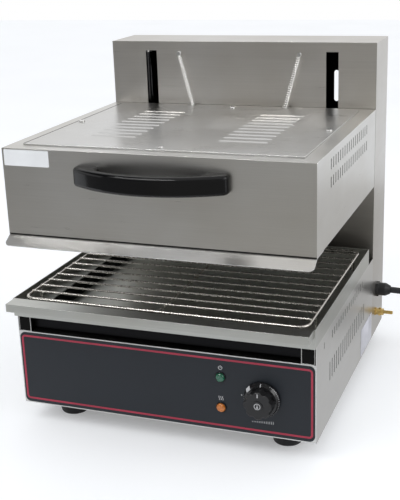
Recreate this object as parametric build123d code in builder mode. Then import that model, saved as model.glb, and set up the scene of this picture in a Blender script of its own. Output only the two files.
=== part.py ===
from build123d import *
import math
import os

# A countertop lift salamander grill: a base with a sliding drip tray and a wire grid,
# and a heating head that slides up and down on a column behind them.
# Millimetres. +Z is up, the front faces -Y. The origin is on the bench, under the centre
# of the casing's footprint.

os.makedirs("parts", exist_ok=True)

# ------------------------------------------------------------------ driving sizes
width = 450.0  # casing, side to side
depth = 470.0  # casing front to the back of the column
column_depth = 92.5
column_height = 493.0  # above the casing's underside
base_height = 141.5  # side walls of the base
panel_top = 115.8  # top of the base's front wall
sheet = 1.2  # folded steel sheet
floor_sheet = 1.5  # bottom plate
lip = 12.0  # turned-in edges that carry a screwed plate
fit_gap = 0.1  # plates that lie inside walls

# feet
foot_height = 30.0
foot_top_d = 44.0
foot_bottom_d = 32.0
foot_x = 170.0
foot_front = 53.0  # behind the casing's front
foot_rear = 40.0  # before the column's back
foot_screw_d = 5.0

# vent slots
vent_pitch = 13.6
vent_w = 4.0
vent_shift = 3.25  # behind the middle of the base
base_low_vent_z = 74.0
base_low_vent_h = 29.0
base_high_vent_z = 125.0
base_high_vent_h = 12.5
front_vent = (42.5, 127.0)  # behind the casing's front, above its underside
front_vent_size = (3.0, 10.0)
back_vent_count = 13
back_vent_pitch = 23.45
back_vent_w = 8.0
back_vent_h = 52.0
back_vent_drop = 82.0  # below the column's top
plate_slots = (9, 2)
plate_slot_pitch = (24.0, 70.0)
plate_slot_size = (5.0, 46.0)

# control panel
panel_t = 1.0
panel_side_gap = 2.0
panel_corner = 8.0
lamp_x = 89.5
lamp_heights = {"green": 82.0, "amber": 36.0}
lamp_d = 13.0
lamp_stem_d = 10.0
lamp_body_d = 14.0
lamp_body_length = 26.0
knob_x = 149.5
knob_z = 57.0
skirt_d = 52.0
skirt_t = 9.0
skirt_rim_t = 4.0
grip_d = 40.0
grip_length = 14.0
grip_flutes = 8
flute_d = 9.0
cap_d = 15.0
cap_t = 1.0
spindle_d = 6.0
spindle_play = 0.05
panel_play = 0.5  # between the skirt and the panel
control_size = (46.0, 42.0, 46.0)

# drip tray, on two channels along the side walls
runner_w = 19.8
runner_foot = 14.0
tray_play = 0.3  # over the channels, and over any other thing that it slides past
tray_side_play = 0.5
tray_rim_h = 27.2
tray_front = -8.0  # behind the casing's front
tray_rear_gap = 34.5  # before the column
well_front = 10.0
well_rear_gap = 43.5
well_depth = 22.0
lip_reach = 24.0
lip_drop = 12.0
lip_w = 446.0

# wire grid
grid_w = 428.0
grid_front = 0.6
grid_rear_gap = 43.5
grid_frame_d = 5.0
grid_wire_d = 3.2
grid_corner = 14.0
grid_wires = 12
grid_leg_spread = 0.7  # of the grid's length
grid_rise = 1.0  # wires above the tray's rim

# column mechanism
slot_x = 154.6
slot_w = 20.0
slot_bottom = 225.0
slot_top_drop = 15.0  # below the column's top
rod_x = 172.0
rod_d = 12.0
rod_behind = 24.5  # column front to the rods' centres
rod_play = 0.05
rod_bottom = 196.0
rod_top_drop = 9.0
bracket_t = 3.0
bracket_h = 26.0
bush_wall = 1.0
bush_flange = 2.0
bush_length = 18.0
bush_seat = 0.04
block_w = 28.0
block_depth = 26.0
arm_t = 6.0
arm_h = 70.0
arm_bottom = 300.0
arm_flange_w = 24.0
arm_flange_t = 4.0
arm_hole_play = 1.0
arm_screw_d = 6.0
arm_screw_pitch = 44.0
arm_screw_head_d = 10.0
arm_screw_head_h = 1.4
arm_nut_d = 11.0
arm_nut_h = 4.0

# head
head_bottom = 265.0
head_top = 389.7
head_front = 0.6
head_gap = 2.0  # to the column
head_strip = 42.0  # turned-in top edge
head_foot = 10.0  # turned-in bottom edge
head_vent_rows = (371.2, 346.5)
head_vent_h = 15.0
head_vents = 18
cover_w = 407.0
cover_front = 24.0
cover_rear_gap = 24.0  # before the column
cover_rise = 2.0
louvre_l = 71.0
louvre_w = 7.5
louvre_h = 2.6
louvre_x = 97.5
louvre_pitch = 21.4
louvres = 10
louvre_shift = -1.25  # behind the middle of the base
cover_screw_x = 195.0
cover_screw_front = 35.0
cover_screw_rear_gap = 38.5
cover_screw_d = 9.0
deflector_back = 2.0  # its fold, behind the head's front
deflector_reach = 18.0
deflector_drop = 12.0
deflector_seat = 36.0
deflector_corner = 8.0

# handle on the head's front
handle_l = 222.0
handle_h = 27.0
handle_z = 357.0
handle_reach = 46.0
handle_foot = 34.0
handle_inner = 32.0
handle_leg = 18.0
handle_lean = 4.0
handle_end = 12.0
handle_corner = 11.0
handle_round = 5.4
handle_screw_d = 5.0

# inside the head
reflector_t = 0.8
reflector_inset = 13.0
reflector_taper = 22.0
reflector_h = 55.0
insulation_t = 12.0
element_d = 8.0
element_z = 290.0
element_spread = 128.0
element_leg = 54.0
element_front = 46.0
element_rear_gap = 55.5  # before the column
element_bend = 14.0
support_t = 1.5
support_h = 16.0
support_play = 0.4
support_insets = (64.0, 72.0)  # from the elements' ends
support_foot_w = 14.0
bead_d = 14.0
bead_h = 10.0

# counterbalance springs
wire_d = 1.3
spring_mean_d = 7.2
spring_turns = 14
spring_top_x = 102.5
spring_top_drop = 19.0  # below the column's top
spring_bottom_x = 78.0
spring_bottom_drop = 5.2  # below the head's top
spring_top_reach = 6.0  # in front of the column
spring_bottom_back = 9.5  # in front of the head's back
hook_d = 6.0
hook_reach = 5.5
spring_hole = (14.5, 10.6)  # in the head's top
spring_hole_shift = (2.5, 0.6)  # from the lower hook
pin_d = 4.0
pin_head_d = 5.8
pin_head_t = 1.2
pin_side = 1.5  # between a hook's middle and the pin's head
pin_nut_d = 8.0
pin_nut_h = 3.0
lug_w = 16.0
lug_h = 20.0
lug_t = 1.5

# cable, gland, plug
cord_d = 10.5
cord_floor_gap = 0.35
gland_gap = 57.0  # before the column's back
gland_z = 77.0
gland_d = 26.0
gland_body_d = 22.0
gland_end_d = 14.0
gland_length = 24.0
gland_hole_d = 16.0
# from the gland's place on the side: outwards, back, up
cord_drops = (
    (54.2, 0.0, 0.0),
    (81.1, 3.5, -13.3),
    (98.7, 9.7, -37.0),
    (103.3, 17.3, -65.9),
    (106.9, 36.6, -88.8),
)
coil_center_from_gland = (180.9, 94.2)
coil_lead = 30.3
coil_outer_r = 72.0
coil_pitch = 11.1
coil_turns = (1.5, 0.5, 1.5)  # inwards, climbing, outwards
coil_tail = 60.0
plug_d = 38.0
plug_length = 44.0
plug_neck_d = 15.0
plug_neck = 18.0
plug_pin_d = 4.8
plug_pin_l = 19.0
plug_pin_gap = 19.0

# bonding stud
stud_gap = 64.0  # before the column's back
stud_z = 38.5
stud_d = 6.0
stud_core_d = 5.0
stud_length = 30.0
stud_inside = 16.0
stud_nut_w = 10.0
stud_nut_t = 5.0
stud_washer_d = 14.0
stud_washer_t = 1.6
terminal_x = 150.0
terminal_size = (30.0, 54.0, 22.0)
terminal_hole_d = 6.8
terminal_hole_pitch = (14.0, 17.0)
terminal_hole_depth = 8.0

screw_d = 4.0
screw_head_d = 7.5
screw_head_h = 2.2

# ------------------------------------------------------------------ places from the sizes
front_y = -depth / 2
back_y = depth / 2
column_y = back_y - column_depth
casing_z = foot_height
deck_z = casing_z + panel_top
wall_z = casing_z + base_height
column_z = casing_z + column_height
side_x = width / 2
inner_x = side_x - sheet
head_y0 = front_y + head_front
head_y1 = column_y - head_gap
head_z0 = casing_z + head_bottom
head_z1 = casing_z + head_top
rod_y = column_y + rod_behind
arm_z0 = casing_z + arm_bottom
arm_z = arm_z0 + arm_h / 2
mid_y = (front_y + column_y) / 2
base_length = column_y - front_y
vent_y = mid_y + vent_shift
slot_z1 = column_z - slot_top_drop
rod_z0 = casing_z + rod_bottom
rod_z1 = column_z - rod_top_drop
spring_z1 = column_z - spring_top_drop
spring_z0 = head_z1 - spring_bottom_drop
hook_y = head_y1 - spring_bottom_back
top_hooks = [(sign * spring_top_x, spring_z1) for sign in (-1, 1)]
low_hooks = [(sign * spring_bottom_x, spring_z0) for sign in (-1, 1)]


def at_x(x):
    """Upright plane facing +X: its own x runs along Y and its y along Z."""
    return Plane.YZ.offset(x)


def at_y(y):
    """Upright plane facing the front, -Y: its own x runs along X and its y along Z."""
    return Plane.XZ.offset(-y)


def at_z(z):
    return Plane.XY.offset(z)


def block_between(low, high, mode=Mode.ADD):
    """Adds a rectangle to the sketch in hand, or takes it away, between two corners."""
    with Locations(((low[0] + high[0]) / 2, (low[1] + high[1]) / 2)):
        Rectangle(high[0] - low[0], high[1] - low[1], mode=mode)


def folded(*points, thickness=sheet, side=Side.LEFT):
    """Section of a folded sheet: a line of folds and its thickness to one side."""
    with BuildLine() as section:
        Polyline(*points)
        offset(amount=thickness, side=side, kind=Kind.INTERSECTION)
    make_face(section.edges())


def slot_row(center, count, pitch, size):
    """Adds a row of upright slots to the sketch in hand."""
    with Locations(center):
        with GridLocations(pitch, 1, count, 1):
            Rectangle(*size)


def biarc(start, leaving, end, arriving):
    """Adds two tangent arcs that leave one point and arrive at another."""
    across = end - start
    along = across.dot(leaving + arriving)
    bend = 2 * (1 - leaving.dot(arriving))
    if bend < 1e-9:
        reach = across.length**2 / (2 * along)
    else:
        reach = (math.sqrt(along**2 + bend * across.length**2) - along) / bend
    corners = start + leaving * reach, end - arriving * reach
    middle = (corners[0] + corners[1]) * 0.5
    TangentArc(start, middle, tangent=leaving)
    TangentArc(middle, end, tangent=corners[1] - corners[0])


def least_gap(path, tube_d, samples, apart):
    """Least gap of a tube to itself, between points at least a given way apart."""
    points = [tuple(path @ (i / samples)) for i in range(samples + 1)]
    skip = math.ceil(apart / (path.length / samples))
    return min(
        math.dist(points[i], points[j])
        for i in range(len(points))
        for j in range(i + skip, len(points))
    ) - tube_d


# ------------------------------------------------------------------ base casing and plates
with BuildPart() as base_casing:
    with BuildSketch(at_z(casing_z)):
        block_between((-side_x, front_y), (side_x, column_y))
        block_between((-inner_x, front_y + sheet), (inner_x, column_y), Mode.SUBTRACT)
    extrude(amount=base_height)
    with BuildSketch(at_z(deck_z)):
        block_between((-inner_x, front_y), (inner_x, front_y + sheet))
    extrude(amount=base_height - panel_top, mode=Mode.SUBTRACT)
    # turned-in bottom edge under the bottom plate
    with BuildSketch(at_z(casing_z)):
        block_between((-side_x, front_y), (side_x, column_y))
        block_between((-side_x + lip, front_y + lip), (side_x - lip, column_y), Mode.SUBTRACT)
    extrude(amount=sheet)
    # vents in both sides, and one short slot near the front
    with BuildSketch(Plane.YZ):
        slot_row((vent_y, casing_z + base_low_vent_z), 18, vent_pitch, (vent_w, base_low_vent_h))
        slot_row((vent_y, casing_z + base_high_vent_z), 16, vent_pitch, (vent_w, base_high_vent_h))
        with Locations((front_y + front_vent[0], casing_z + front_vent[1])):
            Rectangle(*front_vent_size)
    extrude(amount=width, both=True, mode=Mode.SUBTRACT)
    # lamps and control spindle
    with BuildSketch(at_y(front_y)):
        with Locations(*[(lamp_x, casing_z + z) for z in lamp_heights.values()]):
            Circle(lamp_stem_d / 2 + fit_gap)
        with Locations((knob_x, casing_z + knob_z)):
            Circle(spindle_d / 2 + 2)
    extrude(amount=-sheet, mode=Mode.SUBTRACT)
base_casing.part.label = "base_casing"
export_step(base_casing.part, "parts/base_casing.step")

foot_places = {
    f"{end}_{side}": (sign * foot_x, y)
    for end, y in (("front", front_y + foot_front), ("rear", back_y - foot_rear))
    for side, sign in (("left", -1), ("right", 1))
}

plate_z = casing_z + sheet
with BuildPart() as bottom_plate:
    with BuildSketch(at_z(plate_z)):
        Rectangle(width - 2 * (sheet + fit_gap), depth - 2 * (sheet + fit_gap))
        with Locations(*foot_places.values()):
            Circle(foot_screw_d / 2 + fit_gap, mode=Mode.SUBTRACT)
        with Locations((0, mid_y)):
            with GridLocations(*plate_slot_pitch, *plate_slots):
                Rectangle(*plate_slot_size, mode=Mode.SUBTRACT)
    extrude(amount=floor_sheet)
bottom_plate.part.label = "bottom_plate"
export_step(bottom_plate.part, "parts/bottom_plate.step")

with BuildPart() as deck_plate:
    with BuildSketch(at_z(deck_z)):
        block_between(
            (-inner_x + fit_gap, front_y + sheet + fit_gap), (inner_x - fit_gap, column_y)
        )
    extrude(amount=-sheet)
    # front edge turned down behind the casing's front
    with BuildSketch(at_z(deck_z - sheet)):
        block_between(
            (-inner_x + fit_gap, front_y + sheet + fit_gap),
            (inner_x - fit_gap, front_y + 2 * sheet + fit_gap),
        )
    extrude(amount=-lip)
deck_plate.part.label = "deck_plate"
export_step(deck_plate.part, "parts/deck_plate.step")

runner_x = inner_x - fit_gap - runner_w
with BuildPart() as tray_runners:
    with BuildSketch(at_y(column_y)):
        folded(
            (runner_x + runner_foot, deck_z),
            (runner_x, deck_z),
            (runner_x, wall_z),
            (runner_x + runner_w, wall_z),
            side=Side.RIGHT,
        )
    extrude(amount=base_length)
    mirror(about=Plane.YZ)
tray_runners.part.label = "tray_runners"
export_step(tray_runners.part, "parts/tray_runners.step")

# ------------------------------------------------------------------ control panel
panel_w = width - 2 * panel_side_gap
panel_h = panel_top - 2 * panel_side_gap
with BuildPart() as control_panel:
    with BuildSketch(at_y(front_y)):
        with Locations((0, casing_z + panel_top / 2)):
            RectangleRounded(panel_w, panel_h, panel_corner)
        with Locations(*[(lamp_x, casing_z + z) for z in lamp_heights.values()]):
            Circle(lamp_stem_d / 2 + fit_gap, mode=Mode.SUBTRACT)
        with Locations((knob_x, casing_z + knob_z)):
            Circle(spindle_d / 2 + 2, mode=Mode.SUBTRACT)
    extrude(amount=panel_t)
control_panel.part.label = "control_panel"
export_step(control_panel.part, "parts/control_panel.step")

panel_y = front_y - panel_t
for colour, height in lamp_heights.items():
    with BuildPart() as lens:
        with BuildSketch(at_y(front_y + sheet)):
            with Locations((lamp_x, casing_z + height)):
                Circle(lamp_stem_d / 2)
        extrude(amount=sheet + panel_t)
        with BuildSketch(at_y(panel_y)):
            with Locations((lamp_x, casing_z + height)):
                Circle(lamp_d / 2)
        extrude(amount=4.5)
        fillet(lens.edges().group_by(Axis.Y)[0], radius=3.2)
    lens.part.label = f"lamp_lens_{colour}"
    export_step(lens.part, f"parts/lamp_lens_{colour}.step")

with BuildPart() as lamp_bodies:
    with BuildSketch(at_y(front_y + sheet)):
        with Locations(*[(lamp_x, casing_z + z) for z in lamp_heights.values()]):
            Circle(lamp_body_d / 2)
    extrude(amount=-lamp_body_length)
    with BuildSketch(at_y(front_y + sheet + lamp_body_length)):
        with Locations(*[(lamp_x, casing_z + z) for z in lamp_heights.values()]):
            with GridLocations(6, 1, 2, 1):
                Rectangle(0.8, 4.8)
    extrude(amount=-7)
lamp_bodies.part.label = "lamp_bodies"
export_step(lamp_bodies.part, "parts/lamp_bodies.step")

control_y = front_y + sheet
spindle_reach = 14.0
with BuildPart() as temperature_control:
    with BuildSketch(at_y(control_y)):
        with Locations((knob_x, casing_z + knob_z)):
            RectangleRounded(control_size[0], control_size[2], 4)
    extrude(amount=-control_size[1])
    with BuildSketch(at_y(control_y + control_size[1])):
        with Locations((knob_x, casing_z + knob_z)):
            with GridLocations(24, 22, 2, 2):
                Rectangle(0.8, 6.3)
    extrude(amount=-8)
    with BuildSketch(at_y(control_y)):
        with Locations((knob_x, casing_z + knob_z)):
            Circle(spindle_d / 2 + spindle_play)
    extrude(amount=-spindle_reach, mode=Mode.SUBTRACT)
temperature_control.part.label = "temperature_control"
export_step(temperature_control.part, "parts/temperature_control.step")

# ------------------------------------------------------------------ knob, turns about its spindle
skirt_y = panel_y - panel_play
grip_y = skirt_y - skirt_t
with BuildPart() as knob_skirt:
    with BuildSketch(at_y(skirt_y)):
        with Locations((knob_x, casing_z + knob_z)):
            Circle(skirt_d / 2)
            Circle(spindle_d / 2 + spindle_play, mode=Mode.SUBTRACT)
    extrude(amount=skirt_t)
    rim = knob_skirt.edges().filter_by(GeomType.CIRCLE).group_by(Axis.Y)[0].sort_by(SortBy.RADIUS)
    chamfer(rim[-1], length=skirt_t - skirt_rim_t, length2=3.0)
knob_skirt.part.label = "knob_skirt"
export_step(knob_skirt.part, "parts/knob_skirt.step")

with BuildPart() as knob_grip:
    with BuildSketch(at_y(grip_y)):
        with Locations((knob_x, casing_z + knob_z)):
            Circle(grip_d / 2)
            with PolarLocations(grip_d / 2 + flute_d / 4, grip_flutes, start_angle=22.5):
                Circle(flute_d / 2, mode=Mode.SUBTRACT)
    extrude(amount=grip_length)
    with BuildSketch(at_y(grip_y)):
        with Locations((knob_x, casing_z + knob_z)):
            Circle(spindle_d / 2 + spindle_play)
    extrude(amount=grip_length - 4, mode=Mode.SUBTRACT)
    front_edges = knob_grip.edges().group_by(Axis.Y)[0]
    chamfer(front_edges, length=0.8)
knob_grip.part.label = "knob_grip"
export_step(knob_grip.part, "parts/knob_grip.step")

with BuildPart() as knob_cap:
    with BuildSketch(at_y(grip_y - grip_length)):
        with Locations((knob_x, casing_z + knob_z)):
            Circle(cap_d / 2)
    extrude(amount=cap_t)
knob_cap.part.label = "knob_cap"
export_step(knob_cap.part, "parts/knob_cap.step")

spindle_front = grip_y - grip_length + 4 + spindle_play
spindle_back = control_y + spindle_reach - 0.3
with BuildPart() as control_spindle:
    with BuildSketch(at_y(spindle_back)):
        with Locations((knob_x, casing_z + knob_z)):
            Circle(spindle_d / 2)
    extrude(amount=spindle_back - spindle_front)
control_spindle.part.label = "control_spindle"
export_step(control_spindle.part, "parts/control_spindle.step")

# ------------------------------------------------------------------ feet
for corner, place in foot_places.items():
    with BuildPart() as foot:
        with BuildSketch(at_z(0)):
            with Locations(place):
                Circle(foot_bottom_d / 2)
        with BuildSketch(at_z(foot_height)):
            with Locations(place):
                Circle(foot_top_d / 2)
        loft()
        with BuildSketch(at_z(0)):
            with Locations(place):
                Circle(7)
        extrude(amount=12, mode=Mode.SUBTRACT)
        with BuildSketch(at_z(foot_height)):
            with Locations(place):
                Circle(foot_screw_d / 2 + fit_gap)
        extrude(amount=-foot_height, mode=Mode.SUBTRACT)
        fillet(foot.edges().group_by(Axis.Z)[0].sort_by(SortBy.RADIUS)[-1], radius=2)
    foot.part.label = f"foot_{corner}"
    export_step(foot.part, f"parts/foot_{corner}.step")

nut_h = 4.0
with BuildPart() as foot_screws:
    with BuildSketch(at_z(12)):
        with Locations(*foot_places.values()):
            Circle(5)
    extrude(amount=-4)
    with BuildSketch(at_z(12)):
        with Locations(*foot_places.values()):
            Circle(foot_screw_d / 2)
    extrude(amount=plate_z + floor_sheet + nut_h + 2 - 12)
    with BuildSketch(at_z(plate_z + floor_sheet)):
        with Locations(*foot_places.values()):
            RegularPolygon(radius=5, side_count=6)
    extrude(amount=nut_h)
foot_screws.part.label = "foot_screws"
export_step(foot_screws.part, "parts/foot_screws.step")

# ------------------------------------------------------------------ column
back_places = [
    (x, z)
    for x in (-inner_x + lip / 2 + 1, inner_x - lip / 2 - 1)
    for z in (casing_z + 40, casing_z + column_height / 2, column_z - 40)
]
with BuildPart() as column_shell:
    with BuildSketch(at_z(casing_z)):
        block_between((-side_x, column_y), (side_x, back_y))
    extrude(amount=column_height)
    with BuildSketch(at_z(casing_z)):
        block_between((-inner_x, column_y + sheet), (inner_x, back_y))
    extrude(amount=column_height - sheet, mode=Mode.SUBTRACT)
    # turned-in edges that carry the back and the bottom plate
    with BuildSketch(at_y(back_y - sheet)):
        block_between((-inner_x, casing_z), (inner_x, column_z - sheet))
        block_between(
            (-inner_x + lip, casing_z), (inner_x - lip, column_z - sheet - lip), Mode.SUBTRACT
        )
        block_between((-inner_x, plate_z), (inner_x, plate_z + floor_sheet), Mode.SUBTRACT)
        with Locations(*back_places):
            Circle(screw_d / 2, mode=Mode.SUBTRACT)
    extrude(amount=sheet)
    for sign in (-1, 1):
        with BuildSketch(at_z(casing_z)):
            with Locations((sign * (inner_x - lip / 2), (column_y + back_y) / 2)):
                Rectangle(lip, column_depth - 2 * sheet)
        extrude(amount=sheet)
    # slots for the lift arms
    with BuildSketch(at_y(column_y)):
        for sign in (-1, 1):
            block_between(
                (sign * slot_x - slot_w / 2, casing_z + slot_bottom),
                (sign * slot_x + slot_w / 2, slot_z1),
            )
        with Locations(*top_hooks):
            Circle(pin_d / 2 + fit_gap)
        # the bottom plate passes under the front sheet
        block_between((-inner_x, casing_z), (inner_x, plate_z + floor_sheet + fit_gap))
    extrude(amount=-sheet, mode=Mode.SUBTRACT)
    # cable gland and bonding stud, right side
    with BuildSketch(at_x(inner_x)):
        with Locations((back_y - gland_gap, casing_z + gland_z)):
            Circle(gland_hole_d / 2)
        with Locations((back_y - stud_gap, casing_z + stud_z)):
            Circle(stud_d / 2 + fit_gap)
    extrude(amount=sheet, mode=Mode.SUBTRACT)
column_shell.part.label = "column_shell"
export_step(column_shell.part, "parts/column_shell.step")

with BuildPart() as column_back:
    with BuildSketch(at_y(back_y)):
        block_between(
            (-inner_x + fit_gap, plate_z + floor_sheet + fit_gap),
            (inner_x - fit_gap, column_z - sheet - fit_gap),
        )
        with Locations((0, column_z - back_vent_drop)):
            with GridLocations(back_vent_pitch, 1, back_vent_count, 1):
                SlotOverall(back_vent_h, back_vent_w, rotation=90, mode=Mode.SUBTRACT)
        with Locations(*back_places):
            Circle(screw_d / 2 + fit_gap, mode=Mode.SUBTRACT)
    extrude(amount=sheet)
column_back.part.label = "column_back"
export_step(column_back.part, "parts/column_back.step")

# the rods stand in brackets on the back of the column's front sheet
bracket_y = column_y + sheet
bracket_reach = rod_y - bracket_y + rod_d
with BuildPart() as rod_brackets:
    for z, way in ((rod_z0, 1), (rod_z1, -1)):
        with BuildSketch(at_z(z)):
            block_between((rod_x - 11, bracket_y), (rod_x + 15, bracket_y + bracket_reach))
            with Locations((rod_x, rod_y)):
                Circle(rod_d / 2 + rod_play, mode=Mode.SUBTRACT)
        extrude(amount=way * bracket_t)
        with BuildSketch(at_z(z)):
            block_between((rod_x - 4, bracket_y), (rod_x + 15, bracket_y + bracket_t))
        extrude(amount=way * bracket_h)
    mirror(about=Plane.YZ)
rod_brackets.part.label = "rod_brackets"
export_step(rod_brackets.part, "parts/rod_brackets.step")

# each rod is held by a collar above the lower bracket and one under the upper bracket
collar_h = 8.0
rod_stand = 2.0
with BuildPart() as guide_rods:
    with BuildSketch(at_z(rod_z0 - rod_stand)):
        with Locations((-rod_x, rod_y), (rod_x, rod_y)):
            Circle(rod_d / 2)
    extrude(amount=rod_z1 - rod_z0 + 2 * rod_stand)
    chamfer(guide_rods.edges().filter_by(GeomType.CIRCLE), length=0.8)
guide_rods.part.label = "guide_rods"
export_step(guide_rods.part, "parts/guide_rods.step")

with BuildPart() as rod_collars:
    for z in (rod_z0 + bracket_t, rod_z1 - bracket_t - collar_h):
        with BuildSketch(at_z(z)):
            with Locations((-rod_x, rod_y), (rod_x, rod_y)):
                Circle(rod_d / 2 + 4)
                Circle(rod_d / 2 + rod_play, mode=Mode.SUBTRACT)
        extrude(amount=collar_h)
rod_collars.part.label = "rod_collars"
export_step(rod_collars.part, "parts/rod_collars.step")

pin_y = column_y - spring_top_reach - pin_side
with BuildPart() as spring_pins:
    with BuildSketch(at_y(column_y + sheet)):
        with Locations(*top_hooks):
            Circle(pin_d / 2)
    extrude(amount=column_y + sheet - pin_y)
    with BuildSketch(at_y(pin_y)):
        with Locations(*top_hooks):
            Circle(pin_head_d / 2)
    extrude(amount=pin_head_t)
    with BuildSketch(at_y(column_y + sheet)):
        with Locations(*top_hooks):
            RegularPolygon(radius=pin_nut_d / 2, side_count=6)
    extrude(amount=-pin_nut_h)
spring_pins.part.label = "spring_pins"
export_step(spring_pins.part, "parts/spring_pins.step")

# ------------------------------------------------------------------ counterbalance springs


def spring_path(side):
    """Wire of one extension spring: hook, close turns, hook, from the head to the column."""
    low = Vector(side * spring_bottom_x, hook_y, spring_z0)
    high = Vector(side * spring_top_x, column_y - spring_top_reach, spring_z1)
    up = (high - low).normalized()
    out = Vector(up.Z, 0, -up.X).normalized()
    back = up.cross(out)
    turns_l = (high - low).length - 2 * hook_reach
    r = spring_mean_d / 2
    hook_r = hook_d / 2

    def turn_point(half_turns):
        angle = math.pi * half_turns
        rise = turns_l * half_turns / (2 * spring_turns)
        radial = out * math.cos(angle) + back * math.sin(angle)
        around = back * math.cos(angle) - out * math.sin(angle)
        slope = turns_l / spring_turns / (2 * math.pi * r)
        point = low + up * (hook_reach + rise) + radial * r
        return point, (around + up * slope).normalized()

    def hook_point(center, way, quarter):
        angle = math.pi / 2 * quarter
        point = center + out * (hook_r * math.sin(angle)) - up * (way * hook_r * math.cos(angle))
        return point, (out * math.cos(angle) + up * (way * math.sin(angle))).normalized()

    stops = [hook_point(low, 1, q) for q in (-1, 0, 1)]
    stops += [turn_point(h) for h in range(2 * spring_turns + 1)]
    top = [hook_point(high, -1, q) for q in (1, 0, -1)]
    stops += [(point, -direction) for point, direction in top]
    first, last = stops[0], stops[-1]
    with BuildLine() as line:
        Line(first[0] - first[1] * wire_d, first[0])
        for (start, leaving), (end, arriving) in zip(stops, stops[1:]):
            biarc(start, leaving, end, arriving)
        Line(last[0], last[0] + last[1] * wire_d)
    return line.wire()


spring_wires = [spring_path(side) for side in (-1, 1)]
with BuildPart() as counterbalance_springs:
    for wire in spring_wires:
        with BuildSketch(Plane(origin=wire @ 0, z_dir=wire % 0)):
            Circle(wire_d / 2)
        sweep(path=wire)
counterbalance_springs.part.label = "counterbalance_springs"
export_step(counterbalance_springs.part, "parts/counterbalance_springs.step")
print("springs: least gap of a wire to itself", round(least_gap(spring_wires[0], wire_d, 700, 8), 2))

# ------------------------------------------------------------------ drip tray
tray_z = wall_z + tray_play
rim_z = tray_z + tray_rim_h
tray_y0 = front_y + tray_front
tray_y1 = column_y - tray_rear_gap
well_x = runner_x - tray_side_play
well_z = tray_z - well_depth
well_y0 = front_y + well_front
well_y1 = column_y - well_rear_gap
with BuildPart() as drip_tray:
    # upper pan, over the channels
    with BuildSketch(at_z(tray_z)):
        block_between((-side_x, tray_y0), (side_x, tray_y1))
    extrude(amount=tray_rim_h)
    with BuildSketch(at_z(tray_z + sheet)):
        block_between((-inner_x, tray_y0 + sheet), (inner_x, tray_y1 - sheet))
    extrude(amount=tray_rim_h, mode=Mode.SUBTRACT)
    # well between the channels
    with BuildSketch(at_z(well_z)):
        block_between((-well_x, well_y0), (well_x, well_y1))
    extrude(amount=well_depth)
    with BuildSketch(at_z(well_z + sheet)):
        block_between((-well_x + sheet, well_y0 + sheet), (well_x - sheet, well_y1 - sheet))
    extrude(amount=well_depth, mode=Mode.SUBTRACT)
    # front lip to pull by, with closed ends
    lip_y = tray_y0 - lip_reach
    with BuildSketch(at_x(-lip_w / 2)):
        folded(
            (tray_y0 + sheet, rim_z),
            (lip_y, rim_z),
            (lip_y, rim_z - lip_drop),
            (lip_y + 6, rim_z - lip_drop),
        )
    extrude(amount=lip_w)
    for x in (-lip_w / 2, lip_w / 2 - sheet):
        with BuildSketch(at_x(x)):
            block_between((lip_y + sheet / 2, rim_z - lip_drop), (tray_y0 + sheet / 2, rim_z))
        extrude(amount=sheet)
drip_tray.part.label = "drip_tray"
export_step(drip_tray.part, "parts/drip_tray.step")

# ------------------------------------------------------------------ wire grid
grid_y0 = front_y + grid_front
grid_y1 = column_y - grid_rear_gap
grid_length = grid_y1 - grid_y0
grid_mid = (grid_y0 + grid_y1) / 2
wire_z = rim_z + grid_rise
frame_z = wire_z - grid_wire_d / 2 - grid_frame_d / 2 + 1.0
frame_x = grid_w / 2 - grid_frame_d / 2
leg_z = tray_z + sheet + tray_play
with BuildPart() as wire_grid:
    frame_y = grid_length / 2 - grid_frame_d / 2
    with BuildLine() as frame_line:
        FilletPolyline(
            (frame_x, grid_mid - frame_y, frame_z),
            (frame_x, grid_mid + frame_y, frame_z),
            (-frame_x, grid_mid + frame_y, frame_z),
            (-frame_x, grid_mid - frame_y, frame_z),
            radius=grid_corner,
            close=True,
        )
    frame_wire = frame_line.wire()
    with BuildSketch(Plane(origin=frame_wire @ 0, z_dir=frame_wire % 0)):
        Circle(grid_frame_d / 2)
    sweep(path=frame_wire)
    # wires across, resting on the frame
    wire_pitch = grid_length / (grid_wires + 1)
    with BuildSketch(at_x(-frame_x)):
        with Locations((grid_mid, wire_z)):
            with GridLocations(wire_pitch, 1, grid_wires, 1):
                Circle(grid_wire_d / 2)
    extrude(amount=2 * frame_x)
    # stiffening rod from front to back, in the middle
    with BuildSketch(at_y(grid_mid + frame_y)):
        with Locations((0, frame_z)):
            Circle(grid_frame_d / 2 - 0.3)
    extrude(amount=2 * frame_y)
    # legs on the tray's ledges
    with BuildSketch(at_z(leg_z)):
        with Locations((0, grid_mid)):
            with GridLocations(2 * frame_x, grid_length * grid_leg_spread, 2, 2):
                Circle(grid_frame_d / 2 - 0.3)
    extrude(amount=frame_z - leg_z)
wire_grid.part.label = "wire_grid"
export_step(wire_grid.part, "parts/wire_grid.step")

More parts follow.
